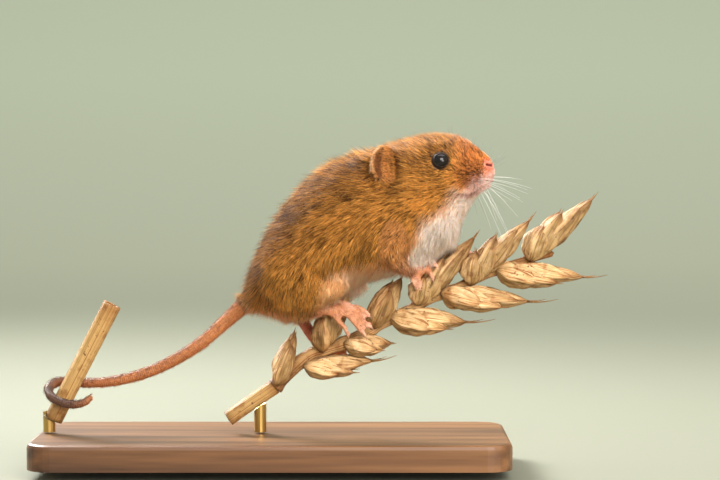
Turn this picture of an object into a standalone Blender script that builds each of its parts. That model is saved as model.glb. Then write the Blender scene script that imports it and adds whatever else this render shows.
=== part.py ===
"""A life-size still model of a harvest mouse on a cut length of a ripe ear of wheat.

The mouse faces +X and its right side faces -Y. It grips the ear with its hands and feet, and
its tail curls round a second stalk. A flat wooden base and two short rods hold the perch.
The origin is the centre of the underside of the base. Shapes are worked out in millimetres
and each finished mesh is scaled to metres.
"""

import math

import bmesh
import bpy
import numpy as np
from mathutils import Matrix, Vector
from mathutils.bvhtree import BVHTree

METRES_PER_MM = 0.001
GAP = 0.3
MERGE = 0.0005
FLAT_ANGLE = math.radians(0.6)
NEAR = -1
FAR = 1

# Stand
BASE_LENGTH = 92.0
BASE_DEPTH = 36.0
BASE_HEIGHT = 5.0
BASE_CORNER = 5.0
BASE_EDGE = 0.8
ROD_RADIUS = 1.2
EAR_ROD_X = -2.4
EAR_ROD_HEIGHT = 7.0
STALK_ROD_SHIFT = 0.4
STALK_ROD_HEIGHT = 4.0

# Body: top x, top z, bottom x, bottom z and half width, from the rump to the tip of the nose
BODY = (
    (-5.3, 32.7, -3.7, 29.2, 1.9),
    (-3.7, 37.2, 0.2, 28.2, 6.4),
    (-1.3, 42.4, 4.4, 27.2, 9.4),
    (1.3, 46.9, 8.7, 28.6, 11.0),
    (5.1, 51.9, 13.1, 31.8, 11.5),
    (9.1, 55.9, 17.2, 34.6, 11.2),
    (13.5, 58.3, 21.8, 35.7, 10.6),
    (17.3, 59.2, 26.4, 36.8, 9.9),
    (20.6, 59.8, 31.0, 38.7, 9.1),
    (23.4, 61.0, 35.0, 42.2, 8.3),
    (26.4, 62.1, 36.5, 46.6, 7.8),
    (30.0, 62.9, 38.1, 49.4, 7.5),
    (33.2, 63.0, 39.7, 51.2, 6.4),
    (36.3, 62.3, 41.4, 52.6, 4.8),
    (39.2, 60.9, 42.6, 53.9, 3.3),
    (41.4, 59.6, 43.3, 55.2, 2.15),
    (42.7, 58.5, 43.3, 56.5, 1.1),
)
BODY_RINGS = 40
BODY_SIDES = 22
BELLY_WEIGHT = 0.13
NOSE_END = (0.15, 0.0, 0.0)
NECK_BACK = ((10.2, 57.0), (30.4, 38.2))
NECK_FRONT = ((15.8, 59.0), (34.9, 42.0))

# Head
EYE_AT = (32.5, 58.2)
EYE_RADIUS = 1.6
EYE_PROUD = 0.85
LID_RADIUS = 1.72
LID_THICKNESS = 0.36
LID_PROUD = 0.28
LID_FACING = (0.12, 0.22)
EAR_AT = (22.4, 57.0)
EAR_WIDTH = 3.0
EAR_HEIGHT = 3.5
EAR_DEPTH = 1.9
EAR_WALL = 0.62
EAR_PROUD = 1.0
EAR_ROOM = 0.55
EAR_FACING = (0.50, -0.85, 0.12)
EAR_LEAN = (-0.22, 0.0, 0.97)
MOUTH = ((36.2, 52.2), (38.2, 52.2), (40.0, 52.8), (41.5, 53.5))
MOUTH_FRONT = (42.35, 53.9)
LIP_RADIUS = 0.42
LIP_SPREAD = 0.42
MOUTH_LINE = 0.24
NOSTRIL_AT = (41.4, 57.4)
NOSTRIL_RADIUS = 0.42
NOSTRIL_SHIFT = (0.35, 0.0, 0.1)
NOSE_PAD_AT = (41.9, 57.3)
NOSE_PAD = (1.35, 1.3, 1.35)

# Tail: x, y, z and radius along its middle
TAIL = (
    (-4.7, 0.0, 30.8, 1.62),
    (-8.6, 0.2, 27.4, 1.36),
    (-13.3, 0.4, 23.1, 1.26),
    (-18.1, 0.8, 19.9, 1.20),
    (-22.8, 1.3, 17.5, 1.14),
    (-27.6, 1.9, 15.8, 1.08),
    (-32.3, 2.6, 14.8, 1.04),
    (-36.2, 3.2, 14.5, 1.00),
    (-39.6, 3.3, 14.7, 0.97),
    (-42.4, 2.2, 14.8, 0.95),
    (-43.7, 0.0, 13.9, 0.93),
    (-43.0, -2.2, 12.5, 0.90),
    (-40.7, -3.2, 11.4, 0.86),
    (-38.0, -3.1, 11.0, 0.82),
    (-36.3, -2.6, 11.4, 0.76),
    (-35.4, -2.2, 12.2, 0.64),
)
TAIL_SIDES = 10
TAIL_RINGS = 60
TAIL_ROOT_END = 0.31
TAIL_MIDDLE_END = 0.62

# Right legs, on the side of -Y: x, y, z and radius along each tube
THIGH_RIGHT = ((4.8, -7.4, 36.6), (7.2, 4.4, 7.2))
SHANK_RIGHT = ((11.8, -8.4, 34.4, 2.7), (9.0, -8.6, 32.9, 2.1), (5.6, -7.2, 30.4, 1.7))
FOOT_RIGHT = (
    (7.4, -6.2, 29.7, 1.25),
    (9.4, -5.5, 29.7, 1.15),
    (12.2, -4.6, 29.5, 1.2),
    (14.3, -4.2, 29.2, 1.05),
)
TOES_RIGHT = (
    ((11.2, -4.0, 30.1), (12.9, -3.5, 30.8), (14.1, -3.4, 30.9), (15.1, -3.4, 30.4)),
    ((13.8, -4.2, 29.7), (15.3, -4.0, 30.0), (16.6, -3.9, 30.1), (17.7, -3.9, 29.5), (18.8, -3.8, 28.5)),
    ((13.8, -4.6, 29.2), (15.6, -4.6, 28.9), (17.0, -4.5, 27.9), (18.2, -4.3, 26.9), (19.2, -4.1, 26.2)),
    ((13.2, -4.9, 29.0), (14.7, -5.0, 28.6), (15.8, -5.0, 27.3), (16.9, -4.8, 26.0), (17.9, -4.5, 24.8)),
    ((11.4, -5.0, 29.0), (12.3, -5.3, 28.2), (13.3, -5.3, 27.0), (14.3, -5.1, 26.0), (14.7, -4.8, 24.9)),
)
SHOULDER_RIGHT = ((23.6, -7.0, 44.0), (3.4, 2.7, 4.6))
ARM_RIGHT = ((22.4, -7.6, 41.0, 2.1), (24.4, -6.9, 38.8, 1.6), (26.8, -4.9, 37.2, 1.15))
HAND_RIGHT = ((27.1, -4.7, 37.1, 1.1), (28.2, -4.2, 37.2, 1.15), (29.1, -3.9, 37.3, 1.0))
FINGERS_RIGHT = (
    ((28.6, -3.7, 37.9), (29.9, -3.3, 38.7), (31.1, -3.1, 38.7), (31.9, -3.1, 37.9)),
    ((28.8, -4.1, 37.5), (30.0, -4.1, 37.5), (30.7, -4.0, 36.6), (31.1, -3.8, 35.6)),
    ((28.0, -4.4, 36.9), (28.3, -4.5, 35.8), (28.6, -4.3, 34.9), (28.7, -4.1, 34.1)),
    ((27.4, -4.6, 36.6), (27.1, -4.7, 35.9), (27.3, -4.5, 35.1), (27.5, -4.3, 34.6)),
)

# Left legs, on the side of +Y
THIGH_LEFT = ((8.2, 7.3, 35.8), (8.6, 4.6, 7.6))
SHANK_LEFT = ((15.6, 8.4, 34.6, 2.9), (10.6, 8.4, 30.9, 2.3), (5.0, 6.4, 28.6, 1.5))
FOOT_LEFT = (
    (5.6, 5.8, 27.0, 1.25),
    (6.7, 5.3, 25.0, 1.15),
    (8.3, 4.8, 23.0, 1.2),
    (9.8, 4.6, 22.0, 1.05),
)
TOES_LEFT = (
    ((7.8, 4.1, 23.8), (9.2, 3.7, 23.7), (10.4, 3.6, 23.3), (11.2, 3.6, 22.6)),
    ((9.4, 4.4, 22.6), (11.0, 4.3, 22.8), (12.6, 4.2, 22.6), (13.9, 4.1, 21.8)),
    ((9.6, 4.8, 22.1), (11.4, 4.9, 21.9), (13.0, 4.8, 21.2), (14.2, 4.5, 20.1)),
    ((9.3, 5.1, 21.6), (10.8, 5.2, 21.0), (12.0, 5.1, 19.9), (12.9, 4.8, 18.8)),
    ((8.4, 5.2, 21.8), (9.1, 5.4, 20.8), (9.9, 5.3, 19.7), (10.3, 5.0, 18.7)),
)
SHOULDER_LEFT = ((27.2, 6.4, 43.6), (3.0, 2.6, 3.6))
ARM_LEFT = ((28.6, 7.2, 42.3, 2.0), (31.8, 6.4, 41.4, 1.5), (34.2, 4.2, 40.9, 1.15))
HAND_LEFT = ((34.5, 4.05, 40.8, 1.1), (35.6, 3.6, 40.4, 1.1), (36.4, 3.4, 40.0, 0.95))
FINGERS_LEFT = (
    ((36.0, 3.1, 40.5), (37.3, 2.7, 40.9), (38.4, 2.4, 40.6), (39.0, 2.3, 39.8)),
    ((36.2, 3.5, 40.0), (37.6, 3.4, 39.8), (38.5, 3.2, 38.9), (38.9, 3.1, 37.9)),
    ((35.9, 3.7, 39.6), (36.8, 3.8, 38.7), (37.3, 3.6, 37.7), (37.5, 3.4, 36.8)),
    ((35.4, 3.8, 39.6), (35.5, 4.0, 38.7), (35.7, 3.8, 37.7), (35.9, 3.6, 37.0)),
)
DIGIT_RADIUS = 0.56
DIGIT_TIP_RADIUS = 0.48
CLAW_LENGTH = 0.95
CLAW_RADIUS = 0.26
CLAW_DROP = 0.55
CLAW_SHARES = (-0.3, 0.35, 0.7, 1.0)
CLAW_TAPER = 0.7
LIMB_SIDES = 10
DIGIT_SIDES = 6
DIGIT_RINGS = 5
CLAW_SIDES = 4
CLAW_RINGS = 3

# Perch: the stem and rachis of the ear, and the stalk that holds the tail
STEM = ((-8.6, 7.9), (-4.8, 10.6), (-1.5, 12.8), (0.4, 14.1))
STEM_RADIUS = 1.55
RACHIS = (
    (0.65, 14.3),
    (3.4, 17.0),
    (7.6, 20.6),
    (13.3, 22.4),
    (20.9, 26.2),
    (29.4, 30.6),
    (38.0, 34.4),
    (46.9, 38.1),
    (54.4, 40.2),
)
RACHIS_RADII = (1.5, 0.8)
STALK_TOP = (-31.2, 30.2)
STALK_BOTTOM = (-42.8, 7.7)
STALK_RADIUS = 1.82

# Spikelets from the foot of the ear: foot x, z, tip of the glume x, z, tip of the lemma x, z and width
SPIKELETS = (
    ((0.6, 14.2), (3.9, 22.6), (4.3, 24.9), 3.7),
    ((6.0, 18.4), (13.2, 16.9), (19.6, 19.2), 3.9),
    ((9.8, 20.8), (9.6, 28.0), (14.8, 32.4), 4.2),
    ((13.8, 22.8), (20.4, 21.6), (23.2, 22.6), 4.1),
    ((19.2, 25.4), (22.9, 33.4), (25.2, 35.4), 4.7),
    ((22.8, 28.0), (31.2, 25.6), (37.8, 26.8), 5.0),
    ((28.2, 30.0), (29.6, 35.8), (39.4, 43.4), 4.7),
    ((32.6, 32.6), (41.0, 30.4), (50.0, 30.8), 4.8),
    ((38.6, 34.0), (39.6, 40.6), (50.0, 46.6), 4.7),
    ((43.4, 37.2), (51.6, 34.6), (60.6, 35.6), 4.8),
    ((50.0, 38.6), (52.6, 45.6), (62.2, 50.8), 4.7),
)
GLUME_SPREAD = 2.7
GLUME_THICKNESS = 3.3
GLUME_FOOT_SPREAD = 1.35
LEMMA_SPREAD = 1.15
LEMMA_FOOT_SPREAD = 0.5
LEMMA_SHARE = 0.85
HUSK_SIDES = 6
HUSK_RINGS = 5
HUSK_ENDS = (0.06, 0.93)
GLUME_FORM = (0.78, 0.66)
LEMMA_FORM = (0.92, 0.58)

FUR = (0.43, 0.19, 0.055, 1.0)
SKIN = (0.62, 0.30, 0.24, 1.0)
STRAW = (0.66, 0.45, 0.19, 1.0)
BRASS = (0.72, 0.55, 0.28, 1.0)
OAK = (0.36, 0.22, 0.12, 1.0)
EYE_BLACK = (0.006, 0.005, 0.005, 1.0)


def clear_scene():
    for old in list(bpy.data.objects):
        bpy.data.objects.remove(old, do_unlink=True)


def make_material(name, colour, roughness, metallic=0.0):
    material = bpy.data.materials.new(name)
    material.use_nodes = True
    shader = material.node_tree.nodes["Principled BSDF"]
    shader.inputs["Base Color"].default_value = colour
    shader.inputs["Roughness"].default_value = roughness
    shader.inputs["Metallic"].default_value = metallic
    return material


def smooth_rows(rows, count):
    """Reads count rows, evenly spaced, off a smooth curve through the given rows."""
    rows = np.asarray(rows, float)
    padded = np.vstack([2 * rows[0] - rows[1], rows, 2 * rows[-1] - rows[-2]])
    samples_between = 16
    fine = []
    for i in range(1, len(padded) - 2):
        a, b, c, d = padded[i - 1 : i + 3]
        for t in np.linspace(0.0, 1.0, samples_between, endpoint=False):
            linear = (c - a) * t
            square = (2 * a - 5 * b + 4 * c - d) * t**2
            cube = (3 * b - a - 3 * c + d) * t**3
            fine.append(0.5 * (2 * b + linear + square + cube))
    fine.append(rows[-1])
    fine = np.array(fine)
    steps = np.linalg.norm(np.diff(fine, axis=0), axis=1)
    along = np.concatenate([[0.0], np.cumsum(steps)])
    wanted = np.linspace(0.0, along[-1], count)
    return np.stack([np.interp(wanted, along, column) for column in fine.T], axis=1)


def close_rings(rings, first_pole, last_pole):
    """A closed shape of triangles through equal rings, with a point at each end."""
    rings = np.asarray(rings, float)
    count, sides = rings.shape[:2]
    points = [tuple(p) for ring in rings for p in ring]
    faces = []
    for i in range(count - 1):
        for j in range(sides):
            a = i * sides + j
            b = i * sides + (j + 1) % sides
            faces += [(a, b, b + sides), (a, b + sides, a + sides)]
    first, last = len(points), len(points) + 1
    points += [tuple(first_pole), tuple(last_pole)]
    for j in range(sides):
        after = (j + 1) % sides
        faces.append((first, after, j))
        faces.append((last, (count - 1) * sides + j, (count - 1) * sides + after))
    return points, faces


def unit(vector):
    vector = np.asarray(vector, float)
    return vector / np.linalg.norm(vector)


def tube(rows, sides, rings, round_ends=(True, True), grow=0.0, flatness=1.0):
    """A tube along x, y, z, radius rows. An end is a dome or a flat face."""
    rows = smooth_rows(rows, rings)
    rows[:, 3] += grow
    middle, radius = rows[:, :3], rows[:, 3]
    ahead = np.gradient(middle, axis=0)
    ahead /= np.linalg.norm(ahead, axis=1)[:, None]
    side = np.array([0.0, 1.0, 0.0])
    turns = np.linspace(0.0, 2 * math.pi, sides, endpoint=False)
    frames = []
    for direction in ahead:
        side = unit(side - direction * np.dot(side, direction))
        frames.append((side, np.cross(direction, side)))

    def ring(index, at, size):
        across, up = frames[index]
        return [at + size * (math.cos(t) * across + flatness * math.sin(t) * up) for t in turns]

    made = [ring(i, middle[i], radius[i]) for i in range(rings)]
    poles = [middle[0] - ahead[0] * grow, middle[-1] + ahead[-1] * grow]
    if grow:
        if not round_ends[0]:
            made[0] = ring(0, poles[0], radius[0])
        if not round_ends[1]:
            made[-1] = ring(-1, poles[1], radius[-1])
    dome = ((0.62, 0.78),) if sides < LIMB_SIDES else ((0.5, 0.87), (0.87, 0.5))
    if round_ends[0]:
        for out, size in dome:
            made.insert(0, ring(0, middle[0] - ahead[0] * out * radius[0], size * radius[0]))
        poles[0] = middle[0] - ahead[0] * radius[0]
    if round_ends[1]:
        for out, size in dome:
            made.append(ring(-1, middle[-1] + ahead[-1] * out * radius[-1], size * radius[-1]))
        poles[1] = middle[-1] + ahead[-1] * radius[-1]
    return close_rings(made, poles[0], poles[1])


def ellipsoid(centre, axes, sides=16, rings=8):
    """An ellipsoid whose three half axes are vectors. The poles lie on the third."""
    centre = np.asarray(centre, float)
    first, second, third = (np.asarray(a, float) for a in axes)
    made = []
    for i in range(1, rings + 1):
        tilt = math.pi * i / (rings + 1)
        row = []
        for t in np.linspace(0.0, 2 * math.pi, sides, endpoint=False):
            flat = math.cos(t) * first + math.sin(t) * second
            row.append(centre + math.sin(tilt) * flat - math.cos(tilt) * third)
        made.append(row)
    return close_rings(made, centre - third, centre + third)


def round_ellipsoid(centre, radii, grow=0.0, sides=16, rings=8):
    axes = np.diag(np.asarray(radii, float) + grow)
    return ellipsoid(centre, axes, sides, rings)


def to_bmesh(shape):
    points, faces = shape
    mesh = bmesh.new()
    made = [mesh.verts.new(p) for p in points]
    for face in faces:
        mesh.faces.new([made[i] for i in face])
    bmesh.ops.recalc_face_normals(mesh, faces=mesh.faces)
    return mesh


def to_object(name, shape):
    mesh = to_bmesh(shape)
    data = bpy.data.meshes.new(name)
    mesh.to_mesh(data)
    mesh.free()
    made = bpy.data.objects.new(name, data)
    bpy.context.scene.collection.objects.link(made)
    return made


def keep_largest(data):
    """Merges coincident points, then keeps only the largest closed surface."""
    mesh = bmesh.new()
    mesh.from_mesh(data)
    bmesh.ops.remove_doubles(mesh, verts=mesh.verts, dist=MERGE)
    bmesh.ops.dissolve_limit(mesh, angle_limit=FLAT_ANGLE, verts=mesh.verts, edges=mesh.edges)
    bmesh.ops.triangulate(mesh, faces=mesh.faces)
    seen, groups = set(), []
    for start in mesh.faces:
        if start in seen:
            continue
        group, stack = [], [start]
        seen.add(start)
        while stack:
            face = stack.pop()
            group.append(face)
            for edge in face.edges:
                for other in edge.link_faces:
                    if other not in seen:
                        seen.add(other)
                        stack.append(other)
        groups.append(group)
    groups.sort(key=lambda group: sum(face.calc_area() for face in group))
    spare = [face for group in groups[:-1] for face in group]
    bmesh.ops.delete(mesh, geom=spare, context="FACES")
    bare = [edge for edge in mesh.edges if not edge.link_faces]
    bmesh.ops.delete(mesh, geom=bare, context="EDGES")
    mesh.to_mesh(data)
    mesh.free()


def combine(made, shapes, operation):
    """Joins the shapes to the object, or cuts them from it, with one applied Boolean."""
    helpers = bpy.data.collections.new("helpers")
    bpy.context.scene.collection.children.link(helpers)
    for number, shape in enumerate(shapes):
        helper = to_object(f"helper_{number}", shape)
        bpy.context.scene.collection.objects.unlink(helper)
        helpers.objects.link(helper)
    boolean = made.modifiers.new("combine", "BOOLEAN")
    boolean.operation = operation
    boolean.operand_type = "COLLECTION"
    boolean.collection = helpers
    boolean.solver = "MANIFOLD"
    graph = bpy.context.evaluated_depsgraph_get()
    result = bpy.data.meshes.new_from_object(made.evaluated_get(graph))
    made.modifiers.clear()
    made.data = result
    for helper in list(helpers.objects):
        bpy.data.objects.remove(helper, do_unlink=True)
    bpy.data.collections.remove(helpers)
    keep_largest(made.data)
    return made


def fuse(name, shapes):
    made = to_object(name, shapes[0])
    return combine(made, shapes[1:], "UNION")


def carve(made, shapes):
    return combine(made, shapes, "DIFFERENCE")


def body_shape():
    """The whole of the head, neck and torso as one closed shape."""
    rows = smooth_rows(BODY, BODY_RINGS)
    turns = np.linspace(0.0, 2 * math.pi, BODY_SIDES, endpoint=False)
    rings = []
    for top_x, top_z, bottom_x, bottom_z, half_width in rows:
        top = np.array([top_x, 0.0, top_z])
        bottom = np.array([bottom_x, 0.0, bottom_z])
        centre, half_height = (top + bottom) / 2, (top - bottom) / 2
        ring = []
        for t in turns:
            width = half_width * math.sin(t) * (1.0 - BELLY_WEIGHT * math.cos(t))
            ring.append(centre + half_height * math.cos(t) + np.array([0.0, width, 0.0]))
        rings.append(ring)
    first, last = np.array(rings[0]), np.array(rings[-1])
    nose_tip = last.mean(axis=0) + np.array(NOSE_END)
    return close_rings(rings, first.mean(axis=0), nose_tip)


def cut_by_plane(mesh, line, side):
    """Keeps one side of a plane through an x, z line, and closes the cut."""
    (top_x, top_z), (bottom_x, bottom_z) = line
    along = unit((bottom_x - top_x, 0.0, bottom_z - top_z))
    forward = np.array([-along[2], 0.0, along[0]])
    place = np.array([top_x, 0.0, top_z]) + forward * side * GAP / 2
    cut = bmesh.ops.bisect_plane(
        mesh,
        geom=mesh.verts[:] + mesh.edges[:] + mesh.faces[:],
        plane_co=Vector(place),
        plane_no=Vector(forward),
        clear_outer=side < 0,
        clear_inner=side > 0,
    )
    rim = [item for item in cut["geom_cut"] if isinstance(item, bmesh.types.BMEdge)]
    filled = bmesh.ops.holes_fill(mesh, edges=rim, sides=0)
    bmesh.ops.triangulate(mesh, faces=filled["faces"])


def body_length(name, back=None, front=None):
    """One length of the body between two planes."""
    mesh = to_bmesh(body_shape())
    if back:
        cut_by_plane(mesh, back, 1)
    if front:
        cut_by_plane(mesh, front, -1)
    bmesh.ops.recalc_face_normals(mesh, faces=mesh.faces)
    data = bpy.data.meshes.new(name)
    mesh.to_mesh(data)
    mesh.free()
    made = bpy.data.objects.new(name, data)
    bpy.context.scene.collection.objects.link(made)
    return made


class BodySurface:
    """Finds where the side of the body lies at an x, z place."""

    def __init__(self):
        points, faces = body_shape()
        self.tree = BVHTree.FromPolygons([Vector(p) for p in points], faces)

    def at(self, x, z, side):
        far_off = 60.0
        hit, _, _, _ = self.tree.ray_cast(Vector((x, side * far_off, z)), Vector((0.0, -side, 0.0)))
        return np.array(hit)


def eye_centre(surface, side):
    at = surface.at(*EYE_AT, side)
    return at - np.array([0.0, side * (EYE_RADIUS - EYE_PROUD), 0.0])


def lid_shape(surface, side):
    """A rim round the eye, as a ring that is closed on itself."""
    centre = eye_centre(surface, side)
    outward = unit((LID_FACING[0], side, LID_FACING[1]))
    across = unit(np.cross(outward, (0.0, 0.0, 1.0)))
    upward = np.cross(across, outward)
    around, section = 14, 5
    points, faces = [], []
    for i in range(around):
        turn = 2 * math.pi * i / around
        spoke = math.cos(turn) * across + math.sin(turn) * upward
        for j in range(section):
            tilt = 2 * math.pi * j / section
            reach = LID_RADIUS + LID_THICKNESS * math.cos(tilt)
            points.append(centre + spoke * reach + outward * (LID_PROUD + LID_THICKNESS * math.sin(tilt)))
            after_i, after_j = (i + 1) % around, (j + 1) % section
            a, b = i * section + j, after_i * section + j
            c, d = after_i * section + after_j, i * section + after_j
            faces += [(a, b, c), (a, c, d)]
    return points, faces


def ear_frame(side):
    """The ear's width, height and facing directions."""
    facing = unit((EAR_FACING[0], -side * EAR_FACING[1], EAR_FACING[2]))
    height = np.array(EAR_LEAN, float)
    height = unit(height - facing * np.dot(height, facing))
    return np.cross(height, facing), height, facing


def ear_shape(surface, side):
    """A thin cup, open to the side and a little forward."""
    width, height, facing = ear_frame(side)
    centre = surface.at(*EAR_AT, side) + facing * EAR_PROUD
    around = 16
    spokes = (0.45, 0.78, 1.0)
    turns = np.linspace(0.0, 2 * math.pi, around, endpoint=False)

    def ring(reach, back):
        depth = EAR_DEPTH * (1.0 - reach**2)
        row = []
        for t in turns:
            flat = EAR_WIDTH * math.cos(t) * width + EAR_HEIGHT * math.sin(t) * height
            row.append(centre + reach * flat - facing * (depth + back))
        return row

    inner = [ring(reach, 0.0) for reach in spokes]
    rim = [ring(1.0 + EAR_WALL / 10, EAR_WALL / 2)]
    outer = [ring(reach, EAR_WALL) for reach in reversed(spokes)]
    bottom = centre - facing * EAR_DEPTH
    return close_rings(inner + rim + outer, bottom, bottom - facing * EAR_WALL)


def ear_socket(surface, side):
    width, height, facing = ear_frame(side)
    centre = surface.at(*EAR_AT, side) + facing * EAR_PROUD
    depth = EAR_DEPTH + EAR_WALL + GAP
    axes = (width * (EAR_WIDTH + EAR_ROOM), height * (EAR_HEIGHT + EAR_ROOM), facing * depth)
    return ellipsoid(centre, axes, 16, 6)


def mouth_rows(surface, drop, radius):
    """The line of the mouth right round the muzzle, from corner to corner."""
    right, left = ([surface.at(x, z + drop, side) for x, z in MOUTH] for side in (NEAR, FAR))
    front = np.array([MOUTH_FRONT[0], 0.0, MOUTH_FRONT[1] + drop])
    return [(*p, radius) for p in right + [front] + left[::-1]]


def make_head(surface):
    head = body_length("head", back=NECK_FRONT)
    pad = round_ellipsoid((NOSE_PAD_AT[0], 0.0, NOSE_PAD_AT[1]), NOSE_PAD, sides=14, rings=7)
    lips = [
        tube(mouth_rows(surface, drop, LIP_RADIUS), 5, 12)
        for drop in (LIP_SPREAD, -LIP_SPREAD)
    ]
    lids = [lid_shape(surface, side) for side in (NEAR, FAR)]
    combine(head, [pad] + lips + lids, "UNION")
    cuts = [tube(mouth_rows(surface, 0.0, MOUTH_LINE), 4, 12)]
    for side in (NEAR, FAR):
        nostril = surface.at(*NOSTRIL_AT, side)
        radii = (NOSTRIL_RADIUS, NOSTRIL_RADIUS, NOSTRIL_RADIUS * 0.75)
        cuts.append(round_ellipsoid(nostril + np.array(NOSTRIL_SHIFT), radii, sides=8, rings=4))
        eye_hole = (EYE_RADIUS + GAP,) * 3
        cuts.append(round_ellipsoid(eye_centre(surface, side), eye_hole, sides=14, rings=8))
        cuts.append(ear_socket(surface, side))
    return carve(head, cuts)


def make_eye(surface, side, name):
    shape = round_ellipsoid(eye_centre(surface, side), (EYE_RADIUS,) * 3, sides=16, rings=9)
    return to_object(name, shape)


def limb_shapes(root, tube_rows, round_end, grow=0.0):
    """A thigh or shoulder and the tube from it to the heel or wrist."""
    ends = (True, round_end)
    return [round_ellipsoid(*root, grow=grow), tube(tube_rows, LIMB_SIDES, 7, ends, grow)]


def digit_rows(points):
    radii = np.linspace(DIGIT_RADIUS, DIGIT_TIP_RADIUS, len(points))
    return [(*point, radius) for point, radius in zip(points, radii)]


def claw_rows(points):
    """A short hooked claw that carries the last bone of the digit on and down."""
    last, before = np.array(points[-1]), np.array(points[-2])
    ahead = unit(last - before)
    down = np.array([0.0, 0.0, -1.0])
    rows = []
    for share in CLAW_SHARES:
        bend = CLAW_DROP * max(share, 0.0) ** 2
        place = last + CLAW_LENGTH * (ahead * share + down * bend)
        rows.append((*place, CLAW_RADIUS * (1.0 - CLAW_TAPER * max(share, 0.0))))
    return rows


def paw_shapes(palm, digits, grow=0.0):
    """A hand or foot with its digits and claws."""
    shapes = [tube(palm, LIMB_SIDES, 6, (False, True), grow)]
    for points in digits:
        shapes.append(tube(digit_rows(points), DIGIT_SIDES, DIGIT_RINGS, (True, True), grow))
        shapes.append(tube(claw_rows(points), CLAW_SIDES, CLAW_RINGS, (False, False), grow))
    return shapes


def husk(foot, tip, width, thickness, ends, form):
    """A plump pointed husk. Ends are the y of its foot and tip, and form sets how full it is."""
    foot = np.array([foot[0], ends[0], foot[1]])
    tip = np.array([tip[0], ends[1], tip[1]])
    lower, fullness = form
    ahead = unit(tip - foot)
    across = unit(np.cross(ahead, (0.0, 1.0, 0.0)))
    deep = np.cross(across, ahead)
    rings = []
    for share in np.linspace(HUSK_ENDS[0], HUSK_ENDS[1], HUSK_RINGS):
        size = math.sin(math.pi * share**lower) ** fullness
        centre = foot + (tip - foot) * share
        ring = []
        for t in np.linspace(0.0, 2 * math.pi, HUSK_SIDES, endpoint=False):
            flat = width / 2 * math.cos(t) * across + thickness / 2 * math.sin(t) * deep
            ring.append(centre + size * flat)
        rings.append(ring)
    return close_rings(rings, foot, tip)


def spikelet_shapes(foot, glume_tip, lemma_tip, width):
    """Two glumes, one on each side, and two longer lemmas between them."""
    shapes = []
    for side in (NEAR, FAR):
        glume_ends = (side * GLUME_FOOT_SPREAD, side * GLUME_SPREAD)
        lemma_ends = (side * LEMMA_FOOT_SPREAD, side * LEMMA_SPREAD)
        shapes.append(husk(foot, glume_tip, width, GLUME_THICKNESS, glume_ends, GLUME_FORM))
        thickness = GLUME_THICKNESS * LEMMA_SHARE
        shapes.append(husk(foot, lemma_tip, width, thickness, lemma_ends, LEMMA_FORM))
    return shapes


def flat_rows(points, radii):
    sizes = np.linspace(radii[0], radii[1], len(points))
    return [(x, 0.0, z, size) for (x, z), size in zip(points, sizes)]


def stem_shape(grow=0.0):
    return tube(flat_rows(STEM, (STEM_RADIUS, STEM_RADIUS)), 14, 7, (False, False), grow)


def stalk_shape(grow=0.0):
    rows = flat_rows((STALK_BOTTOM, STALK_TOP), (STALK_RADIUS, STALK_RADIUS))
    return tube(rows, 14, 3, (False, False), grow)


def make_perch_ear(room):
    """The rachis with its spikelets, cut clear of the legs and paws."""
    rachis = tube(flat_rows(RACHIS, RACHIS_RADII), 8, 16, (False, True))
    shapes = [rachis]
    for spikelet in SPIKELETS:
        shapes += spikelet_shapes(*spikelet)
    ear = fuse("perch_ear", shapes)
    return carve(ear, room)


def make_stand():
    """A flat base with round corners, and two short rods."""
    mesh = bmesh.new()
    size = (BASE_LENGTH, BASE_DEPTH, BASE_HEIGHT)
    place = Matrix.Translation((0.0, 0.0, BASE_HEIGHT / 2)) @ Matrix.Diagonal((*size, 1.0))
    bmesh.ops.create_cube(mesh, size=1.0, matrix=place)
    upright = [e for e in mesh.edges if abs(e.verts[0].co.z - e.verts[1].co.z) > BASE_HEIGHT / 2]
    bmesh.ops.bevel(mesh, geom=upright, offset=BASE_CORNER, segments=6, affect="EDGES", profile=0.5)
    rim = [e for e in mesh.edges if min(v.co.z for v in e.verts) > BASE_HEIGHT - 0.01]
    bmesh.ops.bevel(mesh, geom=rim, offset=BASE_EDGE, segments=2, affect="EDGES", profile=0.5)
    data = bpy.data.meshes.new("stand_base")
    mesh.to_mesh(data)
    mesh.free()
    base = bpy.data.objects.new("stand_base", data)
    bpy.context.scene.collection.objects.link(base)

    low = BASE_HEIGHT + GAP
    ear_rows = ((EAR_ROD_X, 0.0, low, ROD_RADIUS), (EAR_ROD_X, 0.0, low + EAR_ROD_HEIGHT, ROD_RADIUS))
    ear_rod = to_object("stand_rod_ear", tube(ear_rows, 16, 3, (False, False)))
    carve(ear_rod, [stem_shape(GAP)])

    run = (STALK_TOP[0] - STALK_BOTTOM[0]) / (STALK_TOP[1] - STALK_BOTTOM[1])
    rod_x = STALK_BOTTOM[0] - run * (STALK_BOTTOM[1] - low) + STALK_ROD_SHIFT
    stalk_rows = ((rod_x, 0.0, low, ROD_RADIUS), (rod_x, 0.0, low + STALK_ROD_HEIGHT, ROD_RADIUS))
    stalk_rod = to_object("stand_rod_stalk", tube(stalk_rows, 16, 3, (False, False)))
    carve(stalk_rod, [stalk_shape(GAP)])
    return base, ear_rod, stalk_rod


def tail_seat():
    """Room in the rump for the first few millimetres of the tail."""
    rows = smooth_rows(TAIL, TAIL_RINGS)[:6]
    return tube(rows, TAIL_SIDES, len(rows), (False, False), GAP)


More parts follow.
